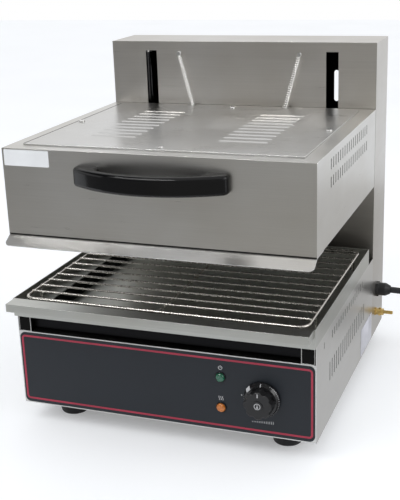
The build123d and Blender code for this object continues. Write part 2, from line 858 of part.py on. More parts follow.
# ------------------------------------------------------------------ head shell
handle_screw_x = handle_l / 2 - handle_foot / 2
cover_y0 = front_y + cover_front
cover_y1 = column_y - cover_rear_gap
cover_places = [
    (-cover_screw_x, (cover_y0 + cover_y1) / 2),
    (cover_screw_x, (cover_y0 + cover_y1) / 2),
    (0, front_y + cover_screw_front),
    (0, column_y - cover_screw_rear_gap),
]
arm_x = slot_x - arm_t / 2
flange_x = arm_x - arm_flange_w
arm_screw_places = [
    (sign * (flange_x + arm_flange_w / 2), arm_z + up * arm_screw_pitch / 2)
    for sign in (-1, 1)
    for up in (-1, 1)
]
with BuildPart() as head_shell:
    with BuildSketch(at_z(head_z0)):
        block_between((-side_x, head_y0), (side_x, head_y1))
        block_between(
            (-inner_x, head_y0 + sheet), (inner_x, head_y1 - sheet), Mode.SUBTRACT
        )
    extrude(amount=head_z1 - head_z0)
    # turned-in edges: a wide one that carries the cover, a narrow one below
    for z, way, edge in ((head_z1, -1, head_strip), (head_z0, 1, head_foot)):
        with BuildSketch(at_z(z)):
            block_between((-side_x, head_y0), (side_x, head_y1))
            block_between(
                (-side_x + edge, head_y0 + edge), (side_x - edge, head_y1 - edge), Mode.SUBTRACT
            )
        extrude(amount=way * sheet)
    # two rows of vents in each side
    with BuildSketch(Plane.YZ):
        for row in head_vent_rows:
            slot_row((vent_y, casing_z + row), head_vents, vent_pitch, (vent_w, head_vent_h))
    extrude(amount=width, both=True, mode=Mode.SUBTRACT)
    # cuts in the back for the lift arms, and holes for the screws
    with BuildSketch(at_y(head_y1)):
        for sign in (-1, 1):
            with Locations((sign * slot_x, arm_z)):
                Rectangle(arm_t + 2 * arm_hole_play, arm_h + 2 * arm_hole_play)
        with Locations(*arm_screw_places):
            Circle(arm_screw_d / 2 + fit_gap)
    extrude(amount=sheet, mode=Mode.SUBTRACT)
    with BuildSketch(at_y(head_y0)):
        with Locations(*[(s * handle_screw_x, casing_z + handle_z) for s in (-1, 1)]):
            Circle(handle_screw_d / 2 + fit_gap)
    extrude(amount=-sheet, mode=Mode.SUBTRACT)
    with BuildSketch(at_z(head_z1)):
        with Locations(*cover_places):
            Circle(screw_d / 2 + fit_gap)
        # the springs pass through the top
        hole_x, hole_y = spring_bottom_x + spring_hole_shift[0], hook_y + spring_hole_shift[1]
        with Locations((-hole_x, hole_y), (hole_x, hole_y)):
            SlotOverall(*spring_hole)
    extrude(amount=-sheet, mode=Mode.SUBTRACT)
head_shell.part.label = "head_shell"
export_step(head_shell.part, "parts/head_shell.step")

# ------------------------------------------------------------------ louvred cover
cover_z = head_z1 + cover_rise
louvre_y = mid_y + louvre_shift
with BuildPart() as head_cover:
    with BuildSketch(at_z(head_z1)):
        block_between((-cover_w / 2, cover_y0), (cover_w / 2, cover_y1))
    extrude(amount=cover_rise)
    with BuildSketch(at_z(head_z1)):
        block_between(
            (-side_x + head_strip, cover_y0 + sheet), (side_x - head_strip, cover_y1 - sheet)
        )
    extrude(amount=cover_rise - sheet, mode=Mode.SUBTRACT)
    with BuildSketch(at_z(head_z1)):
        with Locations(*cover_places):
            Circle(screw_d / 2 + fit_gap)
    extrude(amount=cover_rise, mode=Mode.SUBTRACT)
    # each louvre is a hood pressed up out of the sheet, open to the back
    for sign in (-1, 1):
        for row in range(louvres):
            y = louvre_y + (row - (louvres - 1) / 2) * louvre_pitch - louvre_w / 2
            x = sign * louvre_x - louvre_l / 2
            with BuildSketch(at_x(x)):
                with BuildLine():
                    Polyline((y, cover_z), (y + louvre_w, cover_z + louvre_h), (y + louvre_w, cover_z))
                    Line((y + louvre_w, cover_z), (y, cover_z))
                make_face()
            extrude(amount=louvre_l)
            with BuildSketch(at_x(x + sheet)):
                with BuildLine():
                    Polyline(
                        (y + sheet, cover_z - sheet),
                        (y + louvre_w, cover_z + louvre_h - sheet * 0.8),
                        (y + louvre_w, cover_z - sheet),
                        (y + sheet, cover_z - sheet),
                    )
                make_face()
            extrude(amount=louvre_l - 2 * sheet, mode=Mode.SUBTRACT)
head_cover.part.label = "head_cover"
export_step(head_cover.part, "parts/head_cover.step")

with BuildPart() as cover_screws:
    with BuildSketch(at_z(head_z1 - 5)):
        with Locations(*cover_places):
            Circle(screw_d / 2)
    extrude(amount=5 + cover_rise)
    with BuildSketch(at_z(cover_z)):
        with Locations(*cover_places):
            Circle(cover_screw_d / 2)
    extrude(amount=2.4)
    fillet(cover_screws.edges().group_by(Axis.Z)[-1], radius=1.2)
cover_screws.part.label = "cover_screws"
export_step(cover_screws.part, "parts/cover_screws.step")

# ------------------------------------------------------------------ front deflector
with BuildPart() as front_deflector:
    with BuildSketch(at_x(-side_x)):
        folded(
            (head_y0 + deflector_seat, head_z0),
            (head_y0 + deflector_back, head_z0),
            (head_y0 - deflector_reach, head_z0 - deflector_drop),
        )
    extrude(amount=width)
    low_corners = front_deflector.edges().filter_by(Plane.YZ).group_by(Axis.Y)[0]
    fillet(low_corners.sort_by(Axis.X)[0], radius=deflector_corner)
    low_corners = front_deflector.edges().filter_by(Plane.YZ).group_by(Axis.Y)[0]
    fillet(low_corners.sort_by(Axis.X)[-1], radius=deflector_corner)
front_deflector.part.label = "front_deflector"
export_step(front_deflector.part, "parts/front_deflector.step")

# ------------------------------------------------------------------ bow handle
handle_low = casing_z + handle_z - handle_h / 2
half = handle_l / 2
grip_x = half - handle_foot
grip_y0 = head_y0 - handle_leg
with BuildPart() as handle:
    with BuildSketch(at_z(handle_low)):
        with BuildLine():
            Line((-half, head_y0), (-half, head_y0 - handle_end))
            ThreePointArc(
                (-half, head_y0 - handle_end),
                (0, head_y0 - handle_reach),
                (half, head_y0 - handle_end),
            )
            Line((half, head_y0 - handle_end), (half, head_y0))
            Polyline((half, head_y0), (grip_x, head_y0), (grip_x - handle_lean, grip_y0))
            ThreePointArc(
                (grip_x - handle_lean, grip_y0),
                (0, head_y0 - handle_inner),
                (-grip_x + handle_lean, grip_y0),
            )
            Polyline((-grip_x + handle_lean, grip_y0), (-grip_x, head_y0), (-half, head_y0))
        make_face()
    extrude(amount=handle_h)
    ends = handle.edges().filter_by(Axis.Z).filter_by(lambda e: e.center().Y < head_y0 - 1)
    fillet(ends, radius=handle_corner)
    rims = handle.edges().group_by(Axis.Z)
    rounded = (rims[0] + rims[-1]).filter_by(lambda e: e.center().Y < head_y0 - 0.5)
    fillet(rounded, radius=handle_round)
    # screw holes from inside the head
    with BuildSketch(at_y(head_y0)):
        with Locations(*[(s * handle_screw_x, casing_z + handle_z) for s in (-1, 1)]):
            Circle(handle_screw_d / 2 + fit_gap)
    extrude(amount=8, mode=Mode.SUBTRACT)
handle.part.label = "handle"
export_step(handle.part, "parts/handle.step")

with BuildPart() as handle_screws:
    with BuildSketch(at_y(head_y0 + sheet)):
        with Locations(*[(s * handle_screw_x, casing_z + handle_z) for s in (-1, 1)]):
            Circle(handle_screw_d / 2)
    extrude(amount=sheet + 7)
    with BuildSketch(at_y(head_y0 + sheet)):
        with Locations(*[(s * handle_screw_x, casing_z + handle_z) for s in (-1, 1)]):
            Circle(5)
    extrude(amount=-3)
handle_screws.part.label = "handle_screws"
export_step(handle_screws.part, "parts/handle_screws.step")

# ------------------------------------------------------------------ reflector and insulation
reflector_x = inner_x - reflector_inset + head_foot - 1
reflector_y0 = head_y0 + sheet + 2
reflector_y1 = head_y1 - sheet - 2 - arm_flange_t
reflector_z0 = head_z0 + sheet
reflector_z1 = reflector_z0 + reflector_h
reflector_mid = (reflector_y0 + reflector_y1) / 2
reflector_l = reflector_y1 - reflector_y0
leg_places = [
    (pair * element_spread + way * element_leg / 2, column_y - element_rear_gap)
    for pair in (-1, 0, 1)
    for way in (-1, 1)
]
with BuildPart() as reflector:
    with BuildSketch(at_z(reflector_z0)):
        with Locations((0, reflector_mid)):
            Rectangle(2 * reflector_x, reflector_l)
    with BuildSketch(at_z(reflector_z1)):
        with Locations((0, reflector_mid)):
            Rectangle(2 * (reflector_x - reflector_taper), reflector_l - 1.2 * reflector_taper)
    loft()
    offset(amount=-reflector_t, openings=reflector.faces().sort_by(Axis.Z)[0])
    with BuildSketch(at_z(reflector_z1)):
        with Locations(*leg_places):
            Circle(element_d / 2 + support_play)
    extrude(amount=-2 * reflector_t, mode=Mode.SUBTRACT)
reflector.part.label = "reflector"
export_step(reflector.part, "parts/reflector.step")

with BuildPart() as insulation:
    with BuildSketch(at_z(reflector_z1)):
        with Locations((0, reflector_mid)):
            RectangleRounded(
                2 * (reflector_x - reflector_taper) - 4, reflector_l - 1.2 * reflector_taper - 4, 8
            )
        with Locations(*leg_places):
            Circle(bead_d / 2 + 1, mode=Mode.SUBTRACT)
    extrude(amount=insulation_t)
insulation.part.label = "insulation"
export_step(insulation.part, "parts/insulation.step")

# ------------------------------------------------------------------ tubular heating elements
tube_z = casing_z + element_z
tube_top = reflector_z1 + insulation_t + 6
tube_front = front_y + element_front
tube_rear = column_y - element_rear_gap
with BuildPart() as heating_elements:
    for pair in (-1, 0, 1):
        left, right = [pair * element_spread + way * element_leg / 2 for way in (-1, 1)]
        with BuildLine() as hairpin:
            FilletPolyline(
                (left, tube_rear, tube_top),
                (left, tube_rear, tube_z),
                (left, tube_front, tube_z),
                (right, tube_front, tube_z),
                (right, tube_rear, tube_z),
                (right, tube_rear, tube_top),
                radius=element_bend,
            )
        tube_line = hairpin.wire()
        with BuildSketch(Plane(origin=tube_line @ 0, z_dir=tube_line % 0)):
            Circle(element_d / 2)
        sweep(path=tube_line)
heating_elements.part.label = "heating_elements"
export_step(heating_elements.part, "parts/heating_elements.step")

with BuildPart() as element_supports:
    for y in (tube_front + support_insets[0], tube_rear - support_insets[1]):
        with BuildSketch(at_y(y)):
            block_between(
                (-reflector_x + reflector_taper + 2, tube_z - support_h / 2),
                (reflector_x - reflector_taper - 2, tube_z + support_h / 2),
            )
            with Locations((0, (tube_z + reflector_z1) / 2)):
                with GridLocations(3 * element_leg, 1, 3, 1):
                    Rectangle(support_foot_w, reflector_z1 - tube_z - 2 * reflector_t)
            with Locations(*[(x, tube_z) for x, _ in leg_places]):
                Circle(element_d / 2 + support_play, mode=Mode.SUBTRACT)
        extrude(amount=support_t)
element_supports.part.label = "element_supports"
export_step(element_supports.part, "parts/element_supports.step")

with BuildPart() as terminal_beads:
    with BuildSketch(at_z(reflector_z1)):
        with Locations(*leg_places):
            Circle(bead_d / 2)
            Circle(element_d / 2 + support_play, mode=Mode.SUBTRACT)
    extrude(amount=bead_h)
terminal_beads.part.label = "terminal_beads"
export_step(terminal_beads.part, "parts/terminal_beads.step")

# ------------------------------------------------------------------ lift arms and slides
block_y0 = rod_y - block_depth / 2
block_y1 = rod_y + block_depth / 2
inner_face = head_y1 - sheet
with BuildPart() as lift_arms:
    with BuildSketch(at_z(arm_z0)):
        block_between((arm_x, inner_face - arm_flange_t), (arm_x + arm_t, block_y1))
        block_between((flange_x, inner_face - arm_flange_t), (arm_x + arm_t, inner_face))
    extrude(amount=arm_h)
    mirror(about=Plane.YZ)
    with BuildSketch(at_y(inner_face)):
        with Locations(*arm_screw_places):
            Circle(arm_screw_d / 2 + fit_gap)
    extrude(amount=arm_flange_t, mode=Mode.SUBTRACT)
lift_arms.part.label = "lift_arms"
export_step(lift_arms.part, "parts/lift_arms.step")

with BuildPart() as arm_screws:
    with BuildSketch(at_y(head_y1)):
        with Locations(*arm_screw_places):
            Circle(arm_screw_d / 2)
    extrude(amount=sheet + arm_flange_t + 2)
    with BuildSketch(at_y(inner_face - arm_flange_t)):
        with Locations(*arm_screw_places):
            RegularPolygon(radius=arm_nut_d / 2, side_count=6)
            Circle(arm_screw_d / 2, mode=Mode.SUBTRACT)
    extrude(amount=arm_nut_h)
    with BuildSketch(at_y(head_y1)):
        with Locations(*arm_screw_places):
            Circle(arm_screw_head_d / 2)
    extrude(amount=-arm_screw_head_h)
arm_screws.part.label = "arm_screws"
export_step(arm_screws.part, "parts/arm_screws.step")

block_x = arm_x + arm_t
bush_r = rod_d / 2 + rod_play
with BuildPart() as slide_blocks:
    with BuildSketch(at_z(arm_z0)):
        block_between((block_x, block_y0), (block_x + block_w, block_y1))
        with Locations((rod_x, rod_y)):
            Circle(bush_r + bush_wall + bush_seat, mode=Mode.SUBTRACT)
    extrude(amount=arm_h)
    chamfer(slide_blocks.edges().filter_by(Axis.Z).group_by(Axis.X)[-1], length=3)
    mirror(about=Plane.YZ)
slide_blocks.part.label = "slide_blocks"
export_step(slide_blocks.part, "parts/slide_blocks.step")

with BuildPart() as slide_bushes:
    for z, way in ((arm_z0, 1), (arm_z0 + arm_h, -1)):
        with BuildSketch(at_z(z)):
            with Locations((-rod_x, rod_y), (rod_x, rod_y)):
                Circle(bush_r + bush_wall)
                Circle(bush_r, mode=Mode.SUBTRACT)
        extrude(amount=way * bush_length)
        with BuildSketch(at_z(z)):
            with Locations((-rod_x, rod_y), (rod_x, rod_y)):
                Circle(bush_r + bush_wall + 2.5)
                Circle(bush_r, mode=Mode.SUBTRACT)
        extrude(amount=-way * bush_flange)
slide_bushes.part.label = "slide_bushes"
export_step(slide_bushes.part, "parts/slide_bushes.step")

# plates on the inside of the head's back, under its top, that carry the lower pins
with BuildPart() as spring_lugs:
    with BuildSketch(at_y(inner_face)):
        with Locations(*[(x, head_z1 - sheet - lug_h / 2) for x, _ in low_hooks]):
            Rectangle(lug_w, lug_h)
        with Locations(*low_hooks):
            Circle(pin_d / 2, mode=Mode.SUBTRACT)
    extrude(amount=lug_t)
spring_lugs.part.label = "spring_lugs"
export_step(spring_lugs.part, "parts/spring_lugs.step")

with BuildPart() as lug_pins:
    with BuildSketch(at_y(inner_face)):
        with Locations(*low_hooks):
            Circle(pin_d / 2)
    extrude(amount=inner_face - hook_y + pin_side)
    with BuildSketch(at_y(hook_y - pin_side)):
        with Locations(*low_hooks):
            Circle(pin_head_d / 2)
    extrude(amount=pin_head_t)
lug_pins.part.label = "lug_pins"
export_step(lug_pins.part, "parts/lug_pins.step")

# ------------------------------------------------------------------ mains cord and its gland
gland_y = back_y - gland_gap
gland_axis_z = casing_z + gland_z
with BuildPart() as cable_gland:
    with BuildSketch(at_x(side_x)):
        with Locations((gland_y, gland_axis_z)):
            RegularPolygon(radius=gland_d / 2, side_count=6, major_radius=True)
    extrude(amount=5)
    with BuildSketch(at_x(side_x + 5)):
        with Locations((gland_y, gland_axis_z)):
            Circle(gland_body_d / 2)
    extrude(amount=gland_length - 13)
    with BuildSketch(at_x(side_x + gland_length - 8)):
        with Locations((gland_y, gland_axis_z)):
            Circle(gland_body_d / 2)
    with BuildSketch(at_x(side_x + gland_length)):
        with Locations((gland_y, gland_axis_z)):
            Circle(gland_end_d / 2)
    loft()
    # threaded neck through the wall
    with BuildSketch(at_x(side_x)):
        with Locations((gland_y, gland_axis_z)):
            Circle(gland_hole_d / 2 - fit_gap)
    extrude(amount=-10)
    # bore for the cord
    with BuildSketch(at_x(side_x - 10)):
        with Locations((gland_y, gland_axis_z)):
            Circle(cord_d / 2 + fit_gap)
    extrude(amount=gland_length + 10, mode=Mode.SUBTRACT)
cable_gland.part.label = "cable_gland"
export_step(cable_gland.part, "parts/cable_gland.step")

with BuildPart() as gland_nut:
    with BuildSketch(at_x(inner_x)):
        with Locations((gland_y, gland_axis_z)):
            RegularPolygon(radius=12, side_count=6)
            Circle(gland_hole_d / 2 + fit_gap, mode=Mode.SUBTRACT)
    extrude(amount=-5)
gland_nut.part.label = "gland_nut"
export_step(gland_nut.part, "parts/gland_nut.step")

coil_z = cord_d / 2 + cord_floor_gap
coil_center = (side_x + coil_center_from_gland[0], gland_y + coil_center_from_gland[1])
coil_start = (coil_center[0] - coil_outer_r, coil_center[1])
cord_route = [
    (side_x + gland_length, gland_y, gland_axis_z),
    *[(side_x + out, gland_y + back, gland_axis_z + up) for out, back, up in cord_drops],
    (coil_start[0], coil_start[1] - coil_lead, coil_z),
    (coil_start[0], coil_start[1], coil_z),
]


def route_radii(points):
    """Arc radius at each inner corner of a route, for its runs and turn."""
    radii = []
    for before, at, after in zip(points, points[1:], points[2:]):
        arrive, leave = Vector(*at) - Vector(*before), Vector(*after) - Vector(*at)
        turn = math.radians(arrive.get_angle(leave))
        radii.append(0.45 * min(arrive.length, leave.length) / math.tan(turn / 2))
    return radii


cord_radii = route_radii(cord_route)
with BuildPart() as cord:
    with BuildLine() as cord_line:
        FilletPolyline(*cord_route, radius=cord_radii)
    cord_wire = cord_line.wire()
    with BuildSketch(Plane(origin=cord_wire @ 0, z_dir=cord_wire % 0)):
        Circle(cord_d / 2)
    sweep(path=cord_wire)
cord.part.label = "cord"
export_step(cord.part, "parts/cord.step")
print("cord: arc radii", [round(r) for r in cord_radii], "length", round(cord_wire.length))
print("cord: volume over section x length",
      round(cord.part.volume / (math.pi * cord_d**2 / 4 * cord_wire.length), 4))


def coil_point(turn):
    """Place and direction of the coiled cord after a number of turns."""
    ins, climb, outs = coil_turns
    inner_r = coil_outer_r - coil_pitch * ins
    angle = math.pi - 2 * math.pi * turn
    if turn <= ins:
        r, spread, z, rise = coil_outer_r - coil_pitch * turn, -coil_pitch, coil_z, 0.0
    elif turn < ins + climb:
        half_way = math.pi * (turn - ins) / climb
        r = inner_r - coil_pitch * climb / math.pi * math.sin(half_way)
        spread = -coil_pitch * math.cos(half_way)
        z = coil_z + coil_pitch * (1 - math.cos(half_way)) / 2
        rise = coil_pitch * math.pi * math.sin(half_way) / 2 / climb
    else:
        r, spread = inner_r + coil_pitch * (turn - ins - climb), coil_pitch
        z, rise = coil_z + coil_pitch, 0.0
    place = Vector(coil_center[0] + r * math.cos(angle), coil_center[1] + r * math.sin(angle), z)
    round_speed = -2 * math.pi * r
    going = Vector(
        spread * math.cos(angle) - round_speed * math.sin(angle),
        spread * math.sin(angle) + round_speed * math.cos(angle),
        rise,
    )
    return place, going.normalized()


coil_end, coil_away = coil_point(sum(coil_turns))
with BuildPart() as cord_coil:
    with BuildLine() as coil_line:
        steps = round(sum(coil_turns) * 4)
        stops = [coil_point(i / 4) for i in range(steps + 1)]
        stops[0] = (stops[0][0], Vector(0, 1, 0))
        stops[-1] = (stops[-1][0], Vector(0, -1, 0))
        for (start, leaving), (end, arriving) in zip(stops, stops[1:]):
            biarc(start, leaving, end, arriving)
        Line(coil_end, coil_end - Vector(0, coil_tail, 0))
    coil_wire = coil_line.wire()
    with BuildSketch(Plane(origin=coil_wire @ 0, z_dir=coil_wire % 0)):
        Circle(cord_d / 2)
    sweep(path=coil_wire)
cord_coil.part.label = "cord_coil"
export_step(cord_coil.part, "parts/cord_coil.step")
print("coil: least gap to itself", round(least_gap(coil_wire, cord_d, 600, 40), 2),
      "length", round(coil_wire.length))

plug_y = coil_end.Y - coil_tail
with BuildPart() as plug:
    with BuildSketch(at_y(plug_y)):
        with Locations((coil_end.X, coil_end.Z)):
            Circle(plug_neck_d / 2)
    with BuildSketch(at_y(plug_y - plug_neck)):
        with Locations((coil_end.X, plug_d / 2 + cord_floor_gap)):
            Circle(plug_neck_d / 2 + 6)
    loft()
    with BuildSketch(at_y(plug_y - plug_neck)):
        with Locations((coil_end.X, plug_d / 2 + cord_floor_gap)):
            Circle(plug_d / 2)
    extrude(amount=plug_length - plug_neck)
    fillet(plug.edges().group_by(Axis.Y)[0], radius=2)
    with BuildSketch(at_y(plug_y - plug_length)):
        with Locations((coil_end.X, plug_d / 2 + cord_floor_gap)):
            with GridLocations(plug_pin_gap, 1, 2, 1):
                Circle(plug_pin_d / 2)
    extrude(amount=plug_pin_l)
plug.part.label = "plug"
export_step(plug.part, "parts/plug.step")

# ------------------------------------------------------------------ bonding stud
stud_y = back_y - stud_gap
stud_axis_z = casing_z + stud_z
stud_free_x = side_x + 3 * stud_washer_t + 2 * stud_nut_t
with BuildPart() as bonding_stud:
    with BuildSketch(at_x(side_x - stud_inside)):
        with Locations((stud_y, stud_axis_z)):
            Circle(stud_core_d / 2)
    extrude(amount=stud_free_x - side_x + stud_inside)
    with BuildSketch(at_x(stud_free_x)):
        with Locations((stud_y, stud_axis_z)):
            Circle(stud_d / 2)
    extrude(amount=side_x + stud_length - stud_free_x)
    chamfer(bonding_stud.edges().group_by(Axis.X)[-1], length=0.8)
bonding_stud.part.label = "bonding_stud"
export_step(bonding_stud.part, "parts/bonding_stud.step")

with BuildPart() as bonding_nuts:
    for x, way, bore_d in (
        (inner_x - stud_washer_t, -1, stud_core_d),
        (side_x + stud_washer_t, 1, stud_d),
        (side_x + 3 * stud_washer_t + stud_nut_t, 1, stud_d),
    ):
        with BuildSketch(at_x(x)):
            with Locations((stud_y, stud_axis_z)):
                RegularPolygon(radius=stud_nut_w / 2, side_count=6, major_radius=False)
                Circle(bore_d / 2 + fit_gap, mode=Mode.SUBTRACT)
        extrude(amount=way * stud_nut_t)
bonding_nuts.part.label = "bonding_nuts"
export_step(bonding_nuts.part, "parts/bonding_nuts.step")

with BuildPart() as bonding_washers:
    for x, way, thick in (
        (inner_x, -1, 1),
        (side_x, 1, 1),
        (side_x + stud_washer_t + stud_nut_t, 1, 2),
    ):
        with BuildSketch(at_x(x)):
            with Locations((stud_y, stud_axis_z)):
                Circle(stud_washer_d / 2)
                Circle(stud_d / 2 + fit_gap, mode=Mode.SUBTRACT)
        extrude(amount=way * stud_washer_t * thick)
bonding_washers.part.label = "bonding_washers"
export_step(bonding_washers.part, "parts/bonding_washers.step")

# ------------------------------------------------------------------ terminal block and back screws
with BuildPart() as terminal_block:
    with BuildSketch(at_z(plate_z + floor_sheet)):
        with Locations((terminal_x, gland_y - 3)):
            Rectangle(*terminal_size[:2])
    extrude(amount=terminal_size[2])
    with BuildSketch(at_z(plate_z + floor_sheet + terminal_size[2])):
        with Locations((terminal_x, gland_y - 3)):
            with GridLocations(*terminal_hole_pitch, 2, 3):
                Circle(terminal_hole_d / 2)
    extrude(amount=-terminal_hole_depth, mode=Mode.SUBTRACT)
terminal_block.part.label = "terminal_block"
export_step(terminal_block.part, "parts/terminal_block.step")

with BuildPart() as back_screws:
    with BuildSketch(at_y(back_y - 8)):
        with Locations(*back_places):
            Circle(screw_d / 2)
    extrude(amount=-8)
    with BuildSketch(at_y(back_y)):
        with Locations(*back_places):
            Circle(screw_head_d / 2)
    extrude(amount=-screw_head_h)
    fillet(back_screws.edges().group_by(Axis.Y)[-1], radius=1)
back_screws.part.label = "back_screws"
export_step(back_screws.part, "parts/back_screws.step")
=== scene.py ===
import math

import bmesh
import bpy
from bpy.props import FloatProperty, FloatVectorProperty, IntProperty, PointerProperty
from mathutils import Matrix, Vector


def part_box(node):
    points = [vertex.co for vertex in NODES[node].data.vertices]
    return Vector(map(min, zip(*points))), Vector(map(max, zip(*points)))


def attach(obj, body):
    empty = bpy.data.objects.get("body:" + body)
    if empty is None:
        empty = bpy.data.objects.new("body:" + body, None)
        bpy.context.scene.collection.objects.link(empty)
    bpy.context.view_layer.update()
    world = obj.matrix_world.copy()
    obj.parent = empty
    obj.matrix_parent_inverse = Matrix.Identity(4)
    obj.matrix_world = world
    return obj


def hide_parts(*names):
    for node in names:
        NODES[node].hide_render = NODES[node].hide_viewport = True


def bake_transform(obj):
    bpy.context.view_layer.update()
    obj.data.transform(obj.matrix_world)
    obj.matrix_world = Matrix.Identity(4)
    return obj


bl_info = {
    "name": "Lift Salamander Grill",
    "version": (1, 0, 0),
    "blender": (4, 5, 0),
    "location": "3D View > Sidebar > Salamander",
    "description": "Dresses a countertop lift salamander grill",
    "category": "Object",
}

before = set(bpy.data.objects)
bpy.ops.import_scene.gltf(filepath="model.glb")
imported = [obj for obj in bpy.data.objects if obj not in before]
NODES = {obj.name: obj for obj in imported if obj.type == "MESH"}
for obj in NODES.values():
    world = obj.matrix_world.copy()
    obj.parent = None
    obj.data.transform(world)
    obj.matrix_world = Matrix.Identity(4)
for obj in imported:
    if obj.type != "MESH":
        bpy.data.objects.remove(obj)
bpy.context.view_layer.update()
MM = 0.001
SKIN = 0.7 * MM  # part of a sheet's thickness, between its outside and its inside
WELL_SIDE, WELL_FRONT = 202.9 * MM, -225.0 * MM  # outside of the tray's well
WALL_SHADE = 6 * MM  # reach of the shade at the well's side walls


# ------------------------------------------------------------------ user settings
def colour(name, default, about):
    return FloatVectorProperty(
        name=name, description=about, subtype="COLOR", size=3, min=0.0, max=1.0, default=default
    )


def millimetres(name, about, default, low, high):
    """A length that is given in millimetres."""
    return FloatProperty(
        name=name, description=about, unit="LENGTH",
        default=default * MM, min=low * MM, max=high * MM,
    )


def part_of_one(name, about, default, low=0.0, high=1.0):
    """A part of one, or a brightness where one is white."""
    return FloatProperty(
        name=name, description=about, default=default, min=low, max=high, subtype="FACTOR"
    )


def lamp_power(name, about, default, high):
    return FloatProperty(
        name=name, description=about, default=default, min=0.0, max=high, unit="POWER"
    )


def hook_place(name, about, default):
    """A spring's end, given in millimetres."""
    return FloatVectorProperty(
        name=name, description=about, size=3, subtype="TRANSLATION", unit="LENGTH",
        default=tuple(c * MM for c in default),
    )


class SteelSettings(bpy.types.PropertyGroup):
    """Finish of the folded steel sheets"""

    sheet_colour: colour("Sheet", (0.60, 0.60, 0.595), "Colour of the brushed stainless sheet")
    tray_colour: colour("Tray", (0.52, 0.53, 0.51), "Colour of the drip tray")
    grain_depth: part_of_one("Grain depth", "Strength of the brushed grain's relief", 0.12)
    roughness: part_of_one("Roughness", "Mean roughness of the brushed sheets", 0.30, 0.05, 0.9)


class PanelSettings(bpy.types.PropertyGroup):
    """Control panel and its lamps"""

    panel_colour: colour("Panel", (0.0095, 0.013, 0.019), "Colour of the control panel's film")
    line_colour: colour("Border line", (0.36, 0.030, 0.060), "Colour of the panel's border line")
    green_colour: colour("Green lamp", (0.0, 0.085, 0.042), "Colour of the upper lamp")
    amber_colour: colour("Amber lamp", (0.40, 0.115, 0.009), "Colour of the lower lamp")
    line_width: millimetres("Line width", "Width of the panel's border line", 3.0, 0.5, 6)
    line_inset: millimetres("Line inset", "From the casing's side to the border line", 4.4, 2, 20)


class CoverSettings(bpy.types.PropertyGroup):
    """Louvred cover on the head, and the feet under the base"""

    louvre_rise: millimetres("Louvre rise", "Height of a pressed louvre over the sheet", 1.15, 0.5, 2.6)
    louvre_run: millimetres("Louvre run", "Depth of a louvre, front to back", 4.4, 3, 9)
    louvre_length: millimetres("Louvre length", "Length of a louvre, side to side", 71.0, 30, 120)
    louvre_pitch: millimetres("Louvre pitch", "From one louvre to the next", 21.4, 10, 40)
    louvre_place: millimetres("Louvre place", "From the cover's middle to a group's", 97.5, 50, 150)
    foot_diameter: millimetres("Foot", "Widest diameter of a rubber foot", 53.0, 40, 60)


class SpringSettings(bpy.types.PropertyGroup):
    """Counterbalance springs between the head and the column"""

    turns: IntProperty(
        name="Turns", description="Turns of wire in each spring", default=24, min=8, max=80
    )
    wire_diameter: millimetres("Wire", "Diameter of the spring wire", 1.4, 0.5, 3)
    mean_diameter: millimetres("Mean diameter", "Diameter at the middle of the wire", 7.2, 3, 20)
    top_hook: hook_place("Upper hook", "Middle of the right spring's upper hook", (102.5, 136.5, 504.0))
    low_hook: hook_place("Lower hook", "Middle of the right spring's lower hook", (78.0, 131.0, 414.5))


class CordSettings(bpy.types.PropertyGroup):
    """Mains cord"""

    diameter: millimetres("Diameter", "Outer diameter of the cord", 10.5, 4, 15)
    rubber_colour: colour("Rubber", (0.022, 0.022, 0.024), "Colour of the cord's rubber")


class StageSettings(bpy.types.PropertyGroup):
    """Floor, light and camera"""

    key_power: lamp_power("Key light", "Power of the soft box over the front", 11.0, 400)
    side_power: lamp_power("Side light", "Power of the soft box at the right", 10.0, 400)
    strip_power: lamp_power("Strip light", "Power of the narrow light for lines of gloss", 8.0, 100)
    sky: part_of_one("Sky", "Brightness of the even light all round", 0.86, 0, 2)
    floor_glow: part_of_one("Floor white", "Lifts the lit floor to white where it is looked at", 0.26)
    room_tone: part_of_one("Room tone", "Grey of the room in front that the steel mirrors", 0.36)
    side_tone: part_of_one("Side tone", "Grey of the floor that the right side mirrors", 0.57)
    ceiling_tone: part_of_one("Ceiling tone", "Grey of the ceiling that the apron mirrors", 0.10)


# ------------------------------------------------------------------ material helpers
def new_material(name):
    """A material with a fresh node tree; returns it with its tree and shader."""
    material = bpy.data.materials.new(name)
    material.use_nodes = True
    tree = material.node_tree
    shader = next(n for n in tree.nodes if n.type == "BSDF_PRINCIPLED")
    return material, tree, shader


def add(tree, kind, **values):
    """A node of the tree with its named inputs or attributes set."""
    node = tree.nodes.new(kind)
    for key, value in values.items():
        if hasattr(node, key):
            setattr(node, key, value)
        else:
            node.inputs[key.replace("_", " ")].default_value = value
    return node


def spread(tree, source, low, high):
    """Maps 0..1 to low..high."""
    node = add(tree, "ShaderNodeMapRange")
    node.inputs["To Min"].default_value = low
    node.inputs["To Max"].default_value = high
    tree.links.new(source, node.inputs["Value"])
    return node.outputs["Result"]


def tint(tree, source, dark, light, low=0.3, high=0.7):
    """Colour from dark to light along a noise."""
    ramp = add(tree, "ShaderNodeValToRGB")
    ramp.color_ramp.elements[0].position = low
    ramp.color_ramp.elements[0].color = (*dark, 1)
    ramp.color_ramp.elements[1].position = high
    ramp.color_ramp.elements[1].color = (*light, 1)
    tree.links.new(source, ramp.inputs["Fac"])
    return ramp.outputs["Color"]


def noise(tree, vector, scale, detail=2.0):
    node = add(tree, "ShaderNodeTexNoise", Scale=scale, Detail=detail)
    tree.links.new(vector, node.inputs["Vector"])
    return node.outputs["Fac"]


def stretched(tree, vector, scale):
    node = add(tree, "ShaderNodeMapping")
    node.inputs["Scale"].default_value = scale
    tree.links.new(vector, node.inputs["Vector"])
    return node.outputs["Vector"]


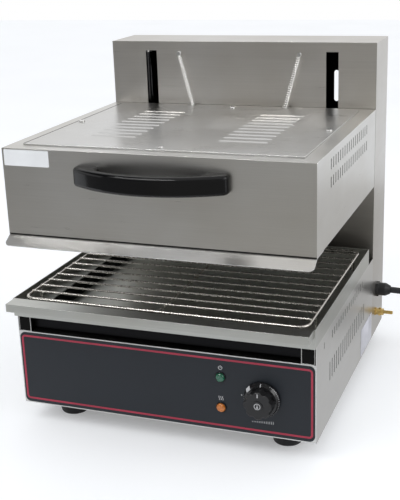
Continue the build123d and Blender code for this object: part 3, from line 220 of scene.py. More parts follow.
def bump(tree, shader, height, strength, distance):
    node = add(tree, "ShaderNodeBump", Strength=strength, Distance=distance)
    tree.links.new(height, node.inputs["Height"])
    tree.links.new(node.outputs["Normal"], shader.inputs["Normal"])
    return node


def soft_edges(tree, radius):
    """Normal with softly rounded edges, and how far each place is on such an edge."""
    bevel = add(tree, "ShaderNodeBevel", samples=4, Radius=radius)
    true_normal = add(tree, "ShaderNodeNewGeometry").outputs["True Normal"]
    along = add(tree, "ShaderNodeVectorMath", operation="DOT_PRODUCT")
    tree.links.new(bevel.outputs["Normal"], along.inputs[0])
    tree.links.new(true_normal, along.inputs[1])
    edge = add(tree, "ShaderNodeMapRange")
    edge.inputs["From Min"].default_value = 0.995
    edge.inputs["From Max"].default_value = 0.90
    tree.links.new(along.outputs["Value"], edge.inputs["Value"])
    return bevel.outputs["Normal"], edge.outputs["Result"]


def blend_float(tree, factor, low, high):
    node = add(tree, "ShaderNodeMix", data_type="FLOAT")
    for source, key in ((factor, "Factor"), (low, "A"), (high, "B")):
        if isinstance(source, (int, float)):
            node.inputs[key].default_value = source
        else:
            tree.links.new(source, node.inputs[key])
    return node.outputs["Result"]


def blend_colour(tree, factor, low, high, blend_type="MIX"):
    node = add(tree, "ShaderNodeMix", data_type="RGBA", blend_type=blend_type)
    sockets = [i for i in node.inputs if i.enabled]
    for source, socket in zip((factor, low, high), sockets):
        if isinstance(source, (int, float)):
            socket.default_value = source
        elif isinstance(source, tuple):
            socket.default_value = (*source, 1)
        else:
            tree.links.new(source, socket)
    return next(o for o in node.outputs if o.enabled)


def maths(tree, operation, first, second=None):
    """A maths node; each of its inputs is a socket or a number."""
    node = add(tree, "ShaderNodeMath", operation=operation)
    for source, socket in zip((first, second), node.inputs):
        if isinstance(source, (int, float)):
            socket.default_value = source
        elif source is not None:
            tree.links.new(source, socket)
    return node.outputs["Value"]


def above(tree, source, limit):
    return maths(tree, "GREATER_THAN", source, limit)


def less(tree, source, limit):
    return maths(tree, "LESS_THAN", source, limit)


def times(tree, *sources):
    product = sources[0]
    for source in sources[1:]:
        product = maths(tree, "MULTIPLY", product, source)
    return product


def parts_of(tree, place):
    """A vector's size along X, and its Y and Z."""
    split = add(tree, "ShaderNodeSeparateXYZ")
    tree.links.new(place, split.inputs["Vector"])
    return maths(tree, "ABSOLUTE", split.outputs["X"]), split.outputs["Y"], split.outputs["Z"]


def inside_housing(node, open_top=False):
    """Mask maker for painted shade: one inside a folded housing, nothing on its outside."""
    low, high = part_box(node)

    def mask(tree, place):
        x, y, z = parts_of(tree, place)
        within = times(
            tree, less(tree, x, high[0] - SKIN), above(tree, y, low[1] + SKIN),
            above(tree, z, low[2] + SKIN),
        )
        return within if open_top else times(tree, within, less(tree, z, high[2] - SKIN))

    return mask


def under_tray(tree, place):
    """Mask for painted shade: one on the outside of the tray's well, under the channels; part way on its
    inner walls.
    """
    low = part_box("drip_tray")[0]
    x, y, z = parts_of(tree, place)
    below = less(tree, z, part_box("tray_runners")[1][2] - 0.1 * MM)
    inner = times(
        tree, less(tree, x, WELL_SIDE - SKIN), above(tree, y, WELL_FRONT + SKIN),
        above(tree, z, low[2] + SKIN),
    )
    painted_shade = times(tree, maths(tree, "SUBTRACT", 1.0, inner), below)
    # painted shade: a band eight tenths dark near the well's side walls, below the channels
    walls = times(tree, above(tree, x, WELL_SIDE - WALL_SHADE), below)
    return maths(tree, "MAXIMUM", painted_shade, spread(tree, walls, 0.0, 0.8))


def front_side(limit_y):
    """Mask maker for painted shade: one on the side of a sheet that faces the front."""
    return lambda tree, place: less(tree, parts_of(tree, place)[1], limit_y)


def behind(limit_y):
    """Mask maker for painted shade: one behind a place, for the inside of a channel."""
    return lambda tree, place: above(tree, parts_of(tree, place)[1], limit_y)


def shades(rgb, spread_by):
    """A darker and a lighter tone about a colour."""
    return (
        tuple(c * (1 - spread_by) for c in rgb),
        tuple(min(1.0, c * (1 + spread_by)) for c in rgb),
    )


# ------------------------------------------------------------------ finishes
def brushed_steel(name, rgb, roughness, grain_depth, variation=0.035, inside=None):
    """Brushed sheet: fine scratches along it, soft patches, faint smears, and bright edges from softly
    rounded normals and a painted highlight; a mask can paint shade near-black.
    """
    material, tree, shader = new_material(name)
    place = add(tree, "ShaderNodeTexCoord").outputs["Object"]
    normal = add(tree, "ShaderNodeNewGeometry").outputs["True Normal"]
    is_side = above(tree, parts_of(tree, normal)[0], 0.7)
    across = noise(tree, stretched(tree, place, (9, 1400, 1400)), 1.0, 3.0)
    along_side = noise(tree, stretched(tree, place, (1400, 9, 1400)), 1.0, 3.0)
    grain = blend_float(tree, is_side, across, along_side)
    patches = noise(tree, place, 5.0, 3.0)
    smears = noise(tree, stretched(tree, place, (18, 18, 60)), 1.0, 4.0)
    dark, light = shades(rgb, variation)
    colour_now = tint(tree, grain, dark, light)
    # the sheet has broad paler and faintly straw-coloured places
    soft = tint(tree, patches, (0.90, 0.885, 0.86), (1.0, 1.0, 1.0), 0.36, 0.60)
    colour_now = blend_colour(tree, 1.0, colour_now, soft, "MULTIPLY")
    rough_now = blend_float(tree, 0.5, grain, smears)
    rough_now = spread(tree, rough_now, roughness - 0.09, roughness + 0.12)
    rounded, edge = soft_edges(tree, 0.6 * MM)
    # painted highlight: along edges the colour is lifted a quarter towards white
    edge_highlight = tuple(min(0.92, c * 1.25) for c in rgb)
    colour_now = blend_colour(tree, edge, colour_now, edge_highlight)
    # painted shade: where the mask is one the sheet turns near-black, standing in for the shade in
    # hollows, gaps and under parts
    if inside is not None:
        painted_shade = inside(tree, place)
        colour_now = blend_colour(tree, painted_shade, colour_now, (0.012, 0.012, 0.013))
    tree.links.new(colour_now, shader.inputs["Base Color"])
    tree.links.new(rough_now, shader.inputs["Roughness"])
    relief = bump(tree, shader, grain, grain_depth, 0.00006)
    tree.links.new(rounded, relief.inputs["Normal"])
    shader.inputs["Metallic"].default_value = 1.0
    shader.inputs["Anisotropic"].default_value = 0.3
    return material


def plain_metal(name, rgb, roughness, scale=160.0, variation=0.08, relief=0.05):
    """Plated, turned or cast metal with faint cloudiness."""
    material, tree, shader = new_material(name)
    place = add(tree, "ShaderNodeTexCoord").outputs["Object"]
    cloud = noise(tree, place, scale, 4.0)
    dark, light = shades(rgb, variation)
    tree.links.new(tint(tree, cloud, dark, light), shader.inputs["Base Color"])
    tree.links.new(
        spread(tree, cloud, max(0.02, roughness - 0.06), roughness + 0.08), shader.inputs["Roughness"]
    )
    bump(tree, shader, cloud, relief, 0.0001)
    shader.inputs["Metallic"].default_value = 1.0
    return material


def plastic(
    name, rgb, roughness, scale=900.0, relief=0.04, coat=0.0, variation=0.15, shine=0.35
):
    """Moulded plastic, paint film or rubber with a fine skin."""
    material, tree, shader = new_material(name)
    place = add(tree, "ShaderNodeTexCoord").outputs["Object"]
    skin = noise(tree, place, scale, 3.0)
    wipe = noise(tree, place, 22.0, 3.0)
    dark, light = shades(rgb, variation)
    tree.links.new(tint(tree, wipe, dark, light), shader.inputs["Base Color"])
    tree.links.new(
        spread(tree, wipe, max(0.03, roughness - 0.05), roughness + 0.07), shader.inputs["Roughness"]
    )
    relief_node = bump(tree, shader, skin, relief, 0.0002)
    rounded, _ = soft_edges(tree, 0.5 * MM)
    tree.links.new(rounded, relief_node.inputs["Normal"])
    shader.inputs["Specular IOR Level"].default_value = shine
    shader.inputs["Coat Weight"].default_value = coat
    shader.inputs["Coat Roughness"].default_value = 0.06
    return material


def lamp_lens(name, rgb, glow):
    """Faceted signal lamp: clear coloured plastic, a little light from behind."""
    material, tree, shader = new_material(name)
    place = add(tree, "ShaderNodeTexCoord").outputs["Object"]
    facets = add(tree, "ShaderNodeTexVoronoi", Scale=520.0)
    tree.links.new(place, facets.inputs["Vector"])
    dark, light = shades(rgb, 0.35)
    tone = tint(tree, facets.outputs["Distance"], light, dark, 0.1, 0.7)
    tree.links.new(tone, shader.inputs["Base Color"])
    tree.links.new(tone, shader.inputs["Emission Color"])
    shader.inputs["Emission Strength"].default_value = glow
    shader.inputs["Roughness"].default_value = 0.12
    shader.inputs["Coat Weight"].default_value = 0.6
    bump(tree, shader, facets.outputs["Distance"], 0.35, 0.0006)
    return material


def fibre(name, rgb):
    material, tree, shader = new_material(name)
    place = add(tree, "ShaderNodeTexCoord").outputs["Object"]
    wool = noise(tree, place, 420.0, 6.0)
    dark, light = shades(rgb, 0.12)
    tree.links.new(tint(tree, wool, dark, light), shader.inputs["Base Color"])
    shader.inputs["Roughness"].default_value = 0.95
    bump(tree, shader, wool, 0.6, 0.001)
    return material


def dress(material, *nodes):
    """Gives the material to CAD nodes."""
    for node in nodes:
        obj = NODES[node]
        obj.data.materials.clear()
        obj.data.materials.append(material)


# ------------------------------------------------------------------ mesh helpers
def put(obj, body, material=None):
    """Links a finished piece, lets it ride on a body and gives it its finish."""
    if obj.name not in bpy.context.scene.collection.objects:
        bpy.context.scene.collection.objects.link(obj)
    if material is not None:
        obj.data.materials.clear()
        obj.data.materials.append(material)
    if body is not None:
        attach(obj, body)
    return obj


def mesh_piece(name, build):
    """A mesh object made by a function that fills a bmesh."""
    bm = bmesh.new()
    build(bm)
    bmesh.ops.recalc_face_normals(bm, faces=bm.faces)
    mesh = bpy.data.meshes.new(name)
    bm.to_mesh(mesh)
    bm.free()
    return bpy.data.objects.new(name, mesh)


def block(bm, low, high, easing, segments=1):
    """Box from corner to corner with eased edges, the first thing in its mesh."""
    for vert in bmesh.ops.create_cube(bm, size=1.0)["verts"]:
        vert.co = Vector((a + b) / 2 + c * (b - a) for a, b, c in zip(low, high, vert.co))
    bmesh.ops.bevel(bm, geom=list(bm.edges), offset=easing, segments=segments, affect="EDGES")


def flat_curve(name, outlines, plane, thickness):
    """Filled outline, such as a printed line or sign, standing a hair proud of a surface."""
    curve = bpy.data.curves.new(name, "CURVE")
    curve.dimensions = "2D"
    curve.fill_mode = "BOTH"
    curve.extrude = thickness / 2
    for outline in outlines:
        spline = curve.splines.new("POLY")
        spline.points.add(len(outline) - 1)
        for point, (x, y) in zip(spline.points, outline):
            point.co = (x, y, 0, 1)
        spline.use_cyclic_u = True
    obj = bpy.data.objects.new(name, curve)
    obj.matrix_world = plane
    return obj


def rounded_outline(low, high, radius, steps=8):
    """Points round a rectangle with round corners."""
    points = []
    corners = (
        (high[0] - radius, high[1] - radius, 0),
        (low[0] + radius, high[1] - radius, 90),
        (low[0] + radius, low[1] + radius, 180),
        (high[0] - radius, low[1] + radius, 270),
    )
    for x, y, first in corners:
        for step in range(steps + 1):
            angle = math.radians(first + 90 * step / steps)
            points.append((x + radius * math.cos(angle), y + radius * math.sin(angle)))
    return points


def facing_front(x, y, z):
    """Frame of a piece drawn in its own x and y, seen from the front."""
    return Matrix.Translation((x, y, z)) @ Matrix.Rotation(math.pi / 2, 4, "X")


def facing_right(x, y, z):
    """Frame of a piece drawn in its own x and y, seen from the right."""
    turn = Matrix(((0, 0, 1), (1, 0, 0), (0, 1, 0))).to_4x4()
    return Matrix.Translation((x, y, z)) @ turn


# ------------------------------------------------------------------ places taken from the frame
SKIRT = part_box("knob_skirt")
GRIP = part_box("knob_grip")
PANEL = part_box("control_panel")
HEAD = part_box("head_shell")
KNOB_X = (SKIRT[0][0] + SKIRT[1][0]) / 2
KNOB_Z = (SKIRT[0][2] + SKIRT[1][2]) / 2
PRINT_Y = PANEL[0][1] - 0.04 * MM  # what is printed on the panel stands this little before it


class SALAMANDER_OT_sheets(bpy.types.Operator):
    """Brushed stainless on the casing, column, head, deck, runners and tray, with painted shade where
    they lie in shadow
    """

    bl_idname = "salamander.sheets"
    bl_label = "Steel Sheets"

    def execute(self, context):
        steel = context.scene.salamander_steel
        casing = brushed_steel(
            "brushed stainless", steel.sheet_colour, steel.roughness, steel.grain_depth
        )
        dress(casing, "front_deflector", "spring_lugs")
        # painted shade: the shells' inner faces are near-black
        for node, warmth, open_top in (
            ("column_shell", (0.89, 0.865, 0.835), False), ("head_shell", (1.0, 0.99, 0.97), False),
            ("base_casing", (1.0, 1.0, 1.0), True),
        ):
            shell = brushed_steel(
                node.replace("_", " ") + " stainless",
                tuple(c * w for c, w in zip(steel.sheet_colour, warmth)), steel.roughness,
                steel.grain_depth, inside=inside_housing(node, open_top=open_top),
            )
            dress(shell, node)
        # painted shade: the whole deck plate is dark steel
        dress(brushed_steel("shaded deck", (0.09, 0.09, 0.09), 0.5, steel.grain_depth), "deck_plate")
        # painted shade: each channel is near-black behind its front edge
        channel = brushed_steel(
            "channel steel", steel.sheet_colour, 0.4, steel.grain_depth,
            inside=behind(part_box("tray_runners")[0][1] + 0.3 * MM),
        )
        dress(channel, "tray_runners")
        # painted shade: the tray's well is near-black outside and below the channels, and darker at its
        # side walls
        tray = brushed_steel(
            "tray steel", steel.tray_colour, steel.roughness + 0.04, steel.grain_depth,
            inside=under_tray,
        )
        dress(tray, "drip_tray")
        # painted shade: the column back is near-black on its front side, and the bottom plate, which
        # lies wholly on that side, all over
        back = brushed_steel(
            "back sheet", steel.sheet_colour, steel.roughness + 0.08, steel.grain_depth,
            inside=front_side(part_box("column_back")[1][1] - 0.6 * MM),
        )
        dress(back, "column_back", "bottom_plate")
        inner = brushed_steel("reflector sheet", (0.42, 0.40, 0.38), 0.36, steel.grain_depth)
        dress(inner, "reflector")
        return {"FINISHED"}


class SALAMANDER_OT_metals(bpy.types.Operator):
    """Plated, turned, wire and brass parts"""

    bl_idname = "salamander.metals"
    bl_label = "Metal Parts"

    def execute(self, context):
        zinc = plain_metal("zinc plate", (0.48, 0.49, 0.50), 0.38, 60.0, 0.18)
        dress(zinc, "rod_brackets", "lift_arms", "element_supports")
        plated = plain_metal("plated steel", (0.62, 0.62, 0.61), 0.20, 300.0)
        dress(plated, "cover_screws", "back_screws", "foot_screws", "handle_screws", "arm_screws")
        dress(plated, "spring_pins", "lug_pins", "rod_collars", "control_spindle")
        # painted shade: the guide rods are near-black so that they read as shade in the column's slots
        rods = plain_metal("shade darkened rod", (0.10, 0.10, 0.105), 0.22, 300.0)
        dress(rods, "guide_rods")
        wires = plain_metal("chromed wire", (0.52, 0.50, 0.465), 0.26, 240.0)
        dress(wires, "wire_grid")
        dress(plain_metal("cast aluminium", (0.60, 0.61, 0.62), 0.42, 500.0, 0.1, 0.3), "slide_blocks")
        dress(plain_metal("bronze", (0.50, 0.31, 0.14), 0.34, 200.0), "slide_bushes")
        brass = plain_metal("brass", (0.62, 0.44, 0.16), 0.24, 220.0, 0.14)
        dress(brass, "bonding_stud", "bonding_nuts", "bonding_washers")
        sheath = plain_metal("heat darkened sheath", (0.085, 0.075, 0.07), 0.55, 130.0, 0.4)
        dress(sheath, "heating_elements")
        return {"FINISHED"}


class SALAMANDER_OT_mouldings(bpy.types.Operator):
    """Handle, knob, gland, plug, lamp bodies and the parts inside"""

    bl_idname = "salamander.mouldings"
    bl_label = "Mouldings"

    def execute(self, context):
        gloss = plastic(
            "gloss black handle", (0.002, 0.002, 0.0025), 0.10, 420.0, 0.03, 0.0, shine=0.26
        )
        dress(gloss, "handle")
        dial = plastic("dial black", (0.010, 0.010, 0.011), 0.20, 600.0, 0.04, 0.3)
        dress(dial, "knob_skirt")
        satin = plastic("satin black grip", (0.014, 0.014, 0.015), 0.34, 900.0, 0.08)
        dress(satin, "knob_grip", "knob_cap")
        nylon = plastic("black nylon", (0.012, 0.012, 0.013), 0.36, 900.0, 0.08)
        dress(nylon, "cable_gland", "gland_nut", "plug", "lamp_bodies")
        dress(plastic("pale moulding", (0.62, 0.59, 0.52), 0.5), "temperature_control", "terminal_block")
        dress(plastic("ceramic", (0.74, 0.71, 0.66), 0.45, 700.0, 0.15), "terminal_beads")
        # painted shade: the wool is near-black; real wool is paler
        dress(fibre("shade darkened mineral wool", (0.035, 0.034, 0.032)), "insulation")
        return {"FINISHED"}


class SALAMANDER_OT_cover(bpy.types.Operator):
    """Louvred cover: flat sheet with eased edges and pressed louvres; their openings to the back are
    dark faces of painted shade
    """

    bl_idname = "salamander.cover"
    bl_label = "Louvred Cover"

    def execute(self, context):
        steel, values = context.scene.salamander_steel, context.scene.salamander_cover
        low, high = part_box("head_cover")
        top = low[2] + 2.0 * MM
        sheet = brushed_steel(
            "cover stainless", tuple(c * 0.94 for c in steel.sheet_colour), steel.roughness - 0.02,
            steel.grain_depth,
        )
        # painted shade: near-black for the louvres' openings
        opening_shade = plastic("painted opening shade", (0.006, 0.006, 0.006), 0.7, shine=0.1)

        def build(bm):
            block(bm, low, (high[0], high[1], top), 0.25 * MM, 2)
            for sign in (-1, 1):
                for row in range(10):
                    y = (low[1] + high[1]) / 2 + (row - 4.5) * values.louvre_pitch + 1.5 * MM
                    self.louvre(bm, sign * values.louvre_place, y, top, values)

        cover = mesh_piece("louvred_cover", build)
        put(cover, "head", sheet)
        cover.data.materials.append(opening_shade)
        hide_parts("head_cover")
        # painted shade: dark strips stand for the shadow gaps along the cover's left edge and under the
        # head's front
        seam_shade = plastic("painted seam shade", (0.010, 0.010, 0.010), 0.6, shine=0.1)
        self.strip(
            "cover_seam", (low[0] - 0.5 * MM, low[1] + 1 * MM, low[2] - 0.1 * MM),
            (low[0] + 1.0 * MM, high[1] - 1 * MM, top + 0.1 * MM), "head", seam_shade,
        )
        self.strip(
            "apron_seam", (HEAD[0][0] + 0.2 * MM, HEAD[0][1] - 0.4 * MM, HEAD[0][2] - 0.2 * MM),
            (HEAD[1][0] - 0.2 * MM, HEAD[0][1] + 0.3 * MM, HEAD[0][2] + 1.2 * MM), "head", seam_shade,
        )
        return {"FINISHED"}

    def strip(self, name, low, high, body, material):
        """Thin dark strip with eased edges: a painted shadow line along a seam."""
        piece = mesh_piece(name, lambda bm: block(bm, low, high, 0.1 * MM))
        put(piece, body, material)

    def louvre(self, bm, x, y, top, values):
        """Hood with rounded ends that rises to the back; its opening and a strip behind it are dark
        faces of painted shade.
        """
        half, run, rise = values.louvre_length / 2, values.louvre_run, values.louvre_rise
        end = 4.5 * MM
        places = [-half + end * t for t in (0, 0.06, 0.2, 0.4, 0.65, 1.0)]
        places += [-p for p in reversed(places)]
        sunk = 0.08 * MM
        rows = []
        for u in (0.0, 0.2, 0.4, 0.6, 0.8, 0.93, 1.0):
            line = []
            for place in places:
                inset = max(0.0, 1 - (half - abs(place)) / end)
                swell = math.sqrt(max(0.0, 1 - inset**2))
                height = (rise + sunk) * swell * math.sin(u * math.pi * 0.47)
                line.append(bm.verts.new((x + place, y + run * (u - 0.5), top - sunk + height)))
            rows.append(line)
        for first, second in zip(rows, rows[1:]):
            for i in range(len(places) - 1):
                bm.faces.new((first[i], first[i + 1], second[i + 1], second[i])).smooth = True
        # painted shade: dark face under the hood's back edge, in place of the opening
        foot = [bm.verts.new((v.co.x, v.co.y + 0.02 * MM, top - sunk)) for v in rows[-1]]
        for i in range(1, len(places) - 2):
            face = bm.faces.new((rows[-1][i], rows[-1][i + 1], foot[i + 1], foot[i]))
            face.material_index = 1
        back = y + run / 2
        corners = (
            (x - half + 3 * MM, back), (x + half - 3 * MM, back),
            (x + half - 4 * MM, back + 1.6 * MM), (x - half + 4 * MM, back + 1.6 * MM),
        )
        face = bm.faces.new([bm.verts.new((cx, cy, top + 0.03 * MM)) for cx, cy in corners])
        face.material_index = 1


class SALAMANDER_OT_feet(bpy.types.Operator):
    """Turned rubber feet with a recess for their screws"""

    bl_idname = "salamander.feet"
    bl_label = "Feet"

    def execute(self, context):
        wide = context.scene.salamander_cover.foot_diameter / 2
        rubber = plastic("foot rubber", (0.009, 0.009, 0.010), 0.55, 700.0, 0.2, shine=0.3)
        for place in ("front_left", "front_right", "rear_left", "rear_right"):
            low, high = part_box("foot_" + place)
            tall = high[2] - low[2] - 0.15 * MM
            profile = (
                (2.7 * MM, 12 * MM), (7 * MM, 12 * MM), (7 * MM, 0.5 * MM), (7.6 * MM, 0.0),
                (wide - 7.0 * MM, 0.0), (wide - 5.6 * MM, 1.4 * MM), (wide - 1.4 * MM, tall * 0.72),
                (wide - 0.3 * MM, tall * 0.84), (wide, tall * 0.90), (wide - 0.3 * MM, tall * 0.97),
                (wide - 1.2 * MM, tall), (2.7 * MM, tall),
            )
            centre = ((low[0] + high[0]) / 2, (low[1] + high[1]) / 2, low[2])
            foot = mesh_piece("rubber_foot_" + place, lambda bm: self.turned(bm, profile, centre))
            put(foot, "base", rubber)
            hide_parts("foot_" + place)
        return {"FINISHED"}

    def turned(self, bm, profile, centre, count=48):
        rings = []
        for r, z in profile:
            rings.append([
                bm.verts.new((
                    centre[0] + r * math.cos(2 * math.pi * i / count),
                    centre[1] + r * math.sin(2 * math.pi * i / count), centre[2] + z,
                ))
                for i in range(count)
            ])
        for first, second in zip(rings, rings[1:] + rings[:1]):
            for i in range(count):
                j = (i + 1) % count
                bm.faces.new((first[i], first[j], second[j], second[i])).smooth = True


class SALAMANDER_OT_panel(bpy.types.Operator):
    """Control panel film, border line, lamps, signs and the dial's marks"""

    bl_idname = "salamander.panel"
    bl_label = "Control Panel"

    def execute(self, context):
        values = context.scene.salamander_panel
        film = plastic("panel film", values.panel_colour, 0.42, 1500.0, 0.05, 0.0, 0.06)
        dress(film, "control_panel")
        dress(lamp_lens("green lens", values.green_colour, 0.22), "lamp_lens_green")
        dress(lamp_lens("amber lens", values.amber_colour, 0.30), "lamp_lens_amber")
        red = plastic("red print", values.line_colour, 0.4, 1200.0, 0.02)
        white = plastic("white print", (0.62, 0.62, 0.63), 0.5, 1200.0, 0.02, 0.0, 0.04)
        side = HEAD[1][0] - values.line_inset
        low = PANEL[0][2] + 4.6 * MM
        high = PANEL[1][2] - 3.8 * MM
        width = values.line_width
        line = flat_curve(
            "panel_border_line",
            [
                rounded_outline((-side, low), (side, high), 6 * MM),
                rounded_outline(
                    (-side + width, low + width), (side - width, high - width), 6 * MM - width
                ),
            ],
            facing_front(0, PRINT_Y, 0),
            0.16 * MM,
        )
        put(line, "base", red)
        self.signs(white)
        self.dial_marks(white)
        self.index_mark(white)
        self.bezels(plastic("bezel black", (0.006, 0.006, 0.007), 0.3, 900.0, 0.04, shine=0.3))
        return {"FINISHED"}

    def printed(self, name, outlines, place, white, body="base", slot="panel_black"):
        """Thin white print that faces the front."""
        put(flat_curve(name, outlines, facing_front(*place), 0.1 * MM), body, white)

    def signs(self, white):
        """Plain signs over the lamps and under the knob: ring and bar, three waves, a gauge."""
        lamp_x = (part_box("lamp_lens_green")[0][0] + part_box("lamp_lens_green")[1][0]) / 2
        lamp_z = [
            (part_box(n)[0][2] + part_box(n)[1][2]) / 2 for n in ("lamp_lens_green", "lamp_lens_amber")
        ]
        ring = [
            (3.0 * MM * math.cos(a), 3.0 * MM * math.sin(a))
            for a in (math.radians(120 + 300 * i / 24) for i in range(25))
        ]
        inner = [(x * 0.76, y * 0.76) for x, y in reversed(ring)]
        bar = [(-0.4 * MM, 0), (0.4 * MM, 0), (0.4 * MM, 3.8 * MM), (-0.4 * MM, 3.8 * MM)]
        above_lamp = 14 * MM
        place = (lamp_x, PRINT_Y, lamp_z[0] + above_lamp)
        self.printed("lamp_sign_power", [ring + inner, bar], place, white)
        waves = []
        for column in (-2.6, 0.0, 2.6):
            left = [
                ((column - 0.4 + 0.55 * math.sin(i * 0.9)) * MM, (i - 3.5) * 0.9 * MM) for i in range(8)
            ]
            waves.append(left + [(x + 0.8 * MM, z) for x, z in reversed(left)])
        self.printed("lamp_sign_heat", waves, (lamp_x, PRINT_Y, lamp_z[1] + above_lamp), white)
        wedge = []
        for i in range(13):
            x = (-15 + 30 * i / 12) * MM
            wedge.append([
                (x - 0.35 * MM, 0), (x + 0.35 * MM, 0),
                (x + 0.35 * MM, (1.6 + 0.24 * i) * MM), (x - 0.35 * MM, (1.6 + 0.24 * i) * MM),
            ])
        self.printed("knob_sign_level", wedge, (KNOB_X, PRINT_Y, KNOB_Z - 37 * MM), white)

    def index_mark(self, white):
        """Small triangle on the panel, left of the dial."""
        x = KNOB_X - 29.5 * MM
        corners = [(x - 0.8 * MM, -1.1 * MM), (x + 1.1 * MM, 0.0), (x - 0.8 * MM, 1.1 * MM)]
        self.printed("dial_index", [corners], (0, PRINT_Y, KNOB_Z + 2 * MM), white)

    def dial_marks(self, white):
        """Ticks and a square on the skirt's slope, a pointer on the grip and a sign on the cap."""
        points = [v.co for v in NODES["knob_skirt"].data.vertices]
        face = min(p.y for p in points)

        def radius(p):
            return math.hypot(p.x - KNOB_X, p.z - KNOB_Z)

        top_r = max(radius(p) for p in points if p.y < face + 0.05 * MM)
        rim_r = max(radius(p) for p in points)
        rim_y = min(p.y for p in points if radius(p) > rim_r - 0.05 * MM)

        def on_slope(angle, share, aside=0.0):
            """Place on the skirt: share 0 at the flat face's rim, 1 at the outer rim."""
            r = top_r + (rim_r - top_r) * share
            y = face + (rim_y - face) * max(0.0, share) - 0.06 * MM
            out = Vector((math.sin(angle), 0, math.cos(angle)))
            across = Vector((out.z, 0, -out.x))
            return Vector((KNOB_X, y, KNOB_Z)) + out * r + across * aside

        def mark(bm, angle, low, high, half):
            stops = [low] + ([0.0] if low < 0 < high else []) + [high]
            for first, second in zip(stops, stops[1:]):
                corners = [(first, -half), (first, half), (second, half), (second, -half)]
                bm.faces.new([bm.verts.new(on_slope(angle, s, a)) for s, a in corners])

        def build(bm):
            for i in range(43):
                angle = math.radians(30 + 6 * i)
                mark(bm, angle, 0.66, 0.90, 0.24 * MM)
            mark(bm, 0.0, -0.5, 0.7, 0.5 * MM)
            mark(bm, math.radians(-48), -0.45, 0.97, 3.7 * MM)

        put(mesh_piece("dial_marks", build), "knob", white)
        grip_face = GRIP[0][1] - 0.03 * MM
        pointer = [
            (-0.6 * MM, 12.5 * MM), (0.6 * MM, 12.5 * MM),
            (0.6 * MM, 18.0 * MM), (-0.6 * MM, 18.0 * MM),
        ]
        place, on_knob = (KNOB_X, grip_face, KNOB_Z), ("knob", "black_plastic")
        self.printed("grip_pointer", [pointer], place, white, *on_knob)
        ring = [(math.cos(a) * 4.6 * MM, math.sin(a) * 4.6 * MM) for a in self.steps(32)]
        inner = [(x * 0.82, y * 0.82) for x, y in reversed(ring)]
        bulb = [
            (math.cos(a) * 1.25 * MM, (math.sin(a) * 1.25 - 1.5) * MM) for a in self.steps(16)
        ]
        stem = [
            (-0.45 * MM, -0.6 * MM), (0.45 * MM, -0.6 * MM),
            (0.45 * MM, 2.6 * MM), (-0.45 * MM, 2.6 * MM),
        ]
        cap_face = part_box("knob_cap")[0][1] - 0.03 * MM
        signs = (("cap_ring", [ring, inner]), ("cap_bulb", [bulb]), ("cap_stem", [stem]))
        for name, outlines in signs:
            self.printed(name, outlines, (KNOB_X, cap_face, KNOB_Z), white, *on_knob)

    def steps(self, count):
        return [2 * math.pi * i / count for i in range(count)]

    def bezels(self, black):
        """Dark rings that hold the lamps."""
        for name in ("green", "amber"):
            low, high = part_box("lamp_lens_" + name)
            curve = bpy.data.curves.new("lamp_bezel_" + name, "CURVE")
            curve.dimensions = "3D"
            curve.bevel_depth = 0.8 * MM
            curve.bevel_resolution = 3
            spline = curve.splines.new("NURBS")
            spline.points.add(15)
            radius = (high[0] - low[0]) / 2 + 0.75 * MM
            for point, angle in zip(spline.points, self.steps(16)):
                point.co = (radius * math.cos(angle), radius * math.sin(angle), 0, 1)
            spline.use_cyclic_u = True
            spline.order_u = 4
            ring = bpy.data.objects.new("lamp_bezel_" + name, curve)
            ring.matrix_world = facing_front(
                (low[0] + high[0]) / 2, PANEL[0][1] - 0.8 * MM, (low[2] + high[2]) / 2
            )
            put(ring, "base", black)


class SALAMANDER_OT_springs(bpy.types.Operator):
    """Counterbalance springs, wound close and hooked to the head and the column"""

    bl_idname = "salamander.springs"
    bl_label = "Springs"

    def execute(self, context):
        values = context.scene.salamander_springs
        pin_r = 2.0 * MM
        top, low = Vector(values.top_hook), Vector(values.low_hook)
        wire = plain_metal("spring wire", (0.92, 0.92, 0.91), 0.16, 400.0)
        for name, side in (("spring_left", -1), ("spring_right", 1)):
            points = self.wire_points(
                Vector((side * low.x, low.y, low.z)), Vector((side * top.x, top.y, top.z)),
                side, values, pin_r,
            )
            curve = bpy.data.curves.new(name, "CURVE")
            curve.dimensions = "3D"
            curve.bevel_depth = values.wire_diameter / 2
            curve.bevel_resolution = 2
            curve.use_fill_caps = True
            spline = curve.splines.new("POLY")
            spline.points.add(len(points) - 1)
            for point, place in zip(spline.points, points):
                point.co = (*place, 1)
            drawn = bpy.data.objects.new(name + "_line", curve)
            context.scene.collection.objects.link(drawn)
            context.view_layer.update()
            mesh = bpy.data.meshes.new_from_object(drawn)
            bpy.data.objects.remove(drawn)
            mesh.shade_smooth()
            spring = bpy.data.objects.new(name, mesh)
            put(spring, None, wire)
            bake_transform(spring)
            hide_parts("counterbalance_springs")
        return {"FINISHED"}

    def wire_points(self, low, high, side, values, pin_r):
        """Line of the wire: a hook round the lower pin, the turns, a hook round the upper pin."""
        up = (high - low).normalized()
        out = Vector((up.z, 0, -up.x)).normalized()
        back = up.cross(out)
        hook_r = pin_r + values.wire_diameter / 2 + 0.25 * MM
        reach = 3.9 * MM
        r = values.mean_diameter / 2
        points = []
        for i in range(13):
            angle = math.radians(-90 + 270 * i / 12)
            points.append(low + out * hook_r * math.sin(angle) - up * hook_r * math.cos(angle))
        length = (high - low).length - 2 * reach
        count = values.turns * 16
        for i in range(count + 1):
            angle = 2 * math.pi * i / 16
            grow = min(1.0, i / 5, (count - i) / 5)
            swell = r * (0.5 + 0.5 * grow)
            points.append(
                low + up * (reach + length * i / count)
                + out * swell * math.cos(angle) + back * swell * math.sin(angle)
            )
        for i in range(13):
            angle = math.radians(180 - 270 * i / 12)
            points.append(high + out * hook_r * math.sin(angle) - up * hook_r * math.cos(angle))
        return points


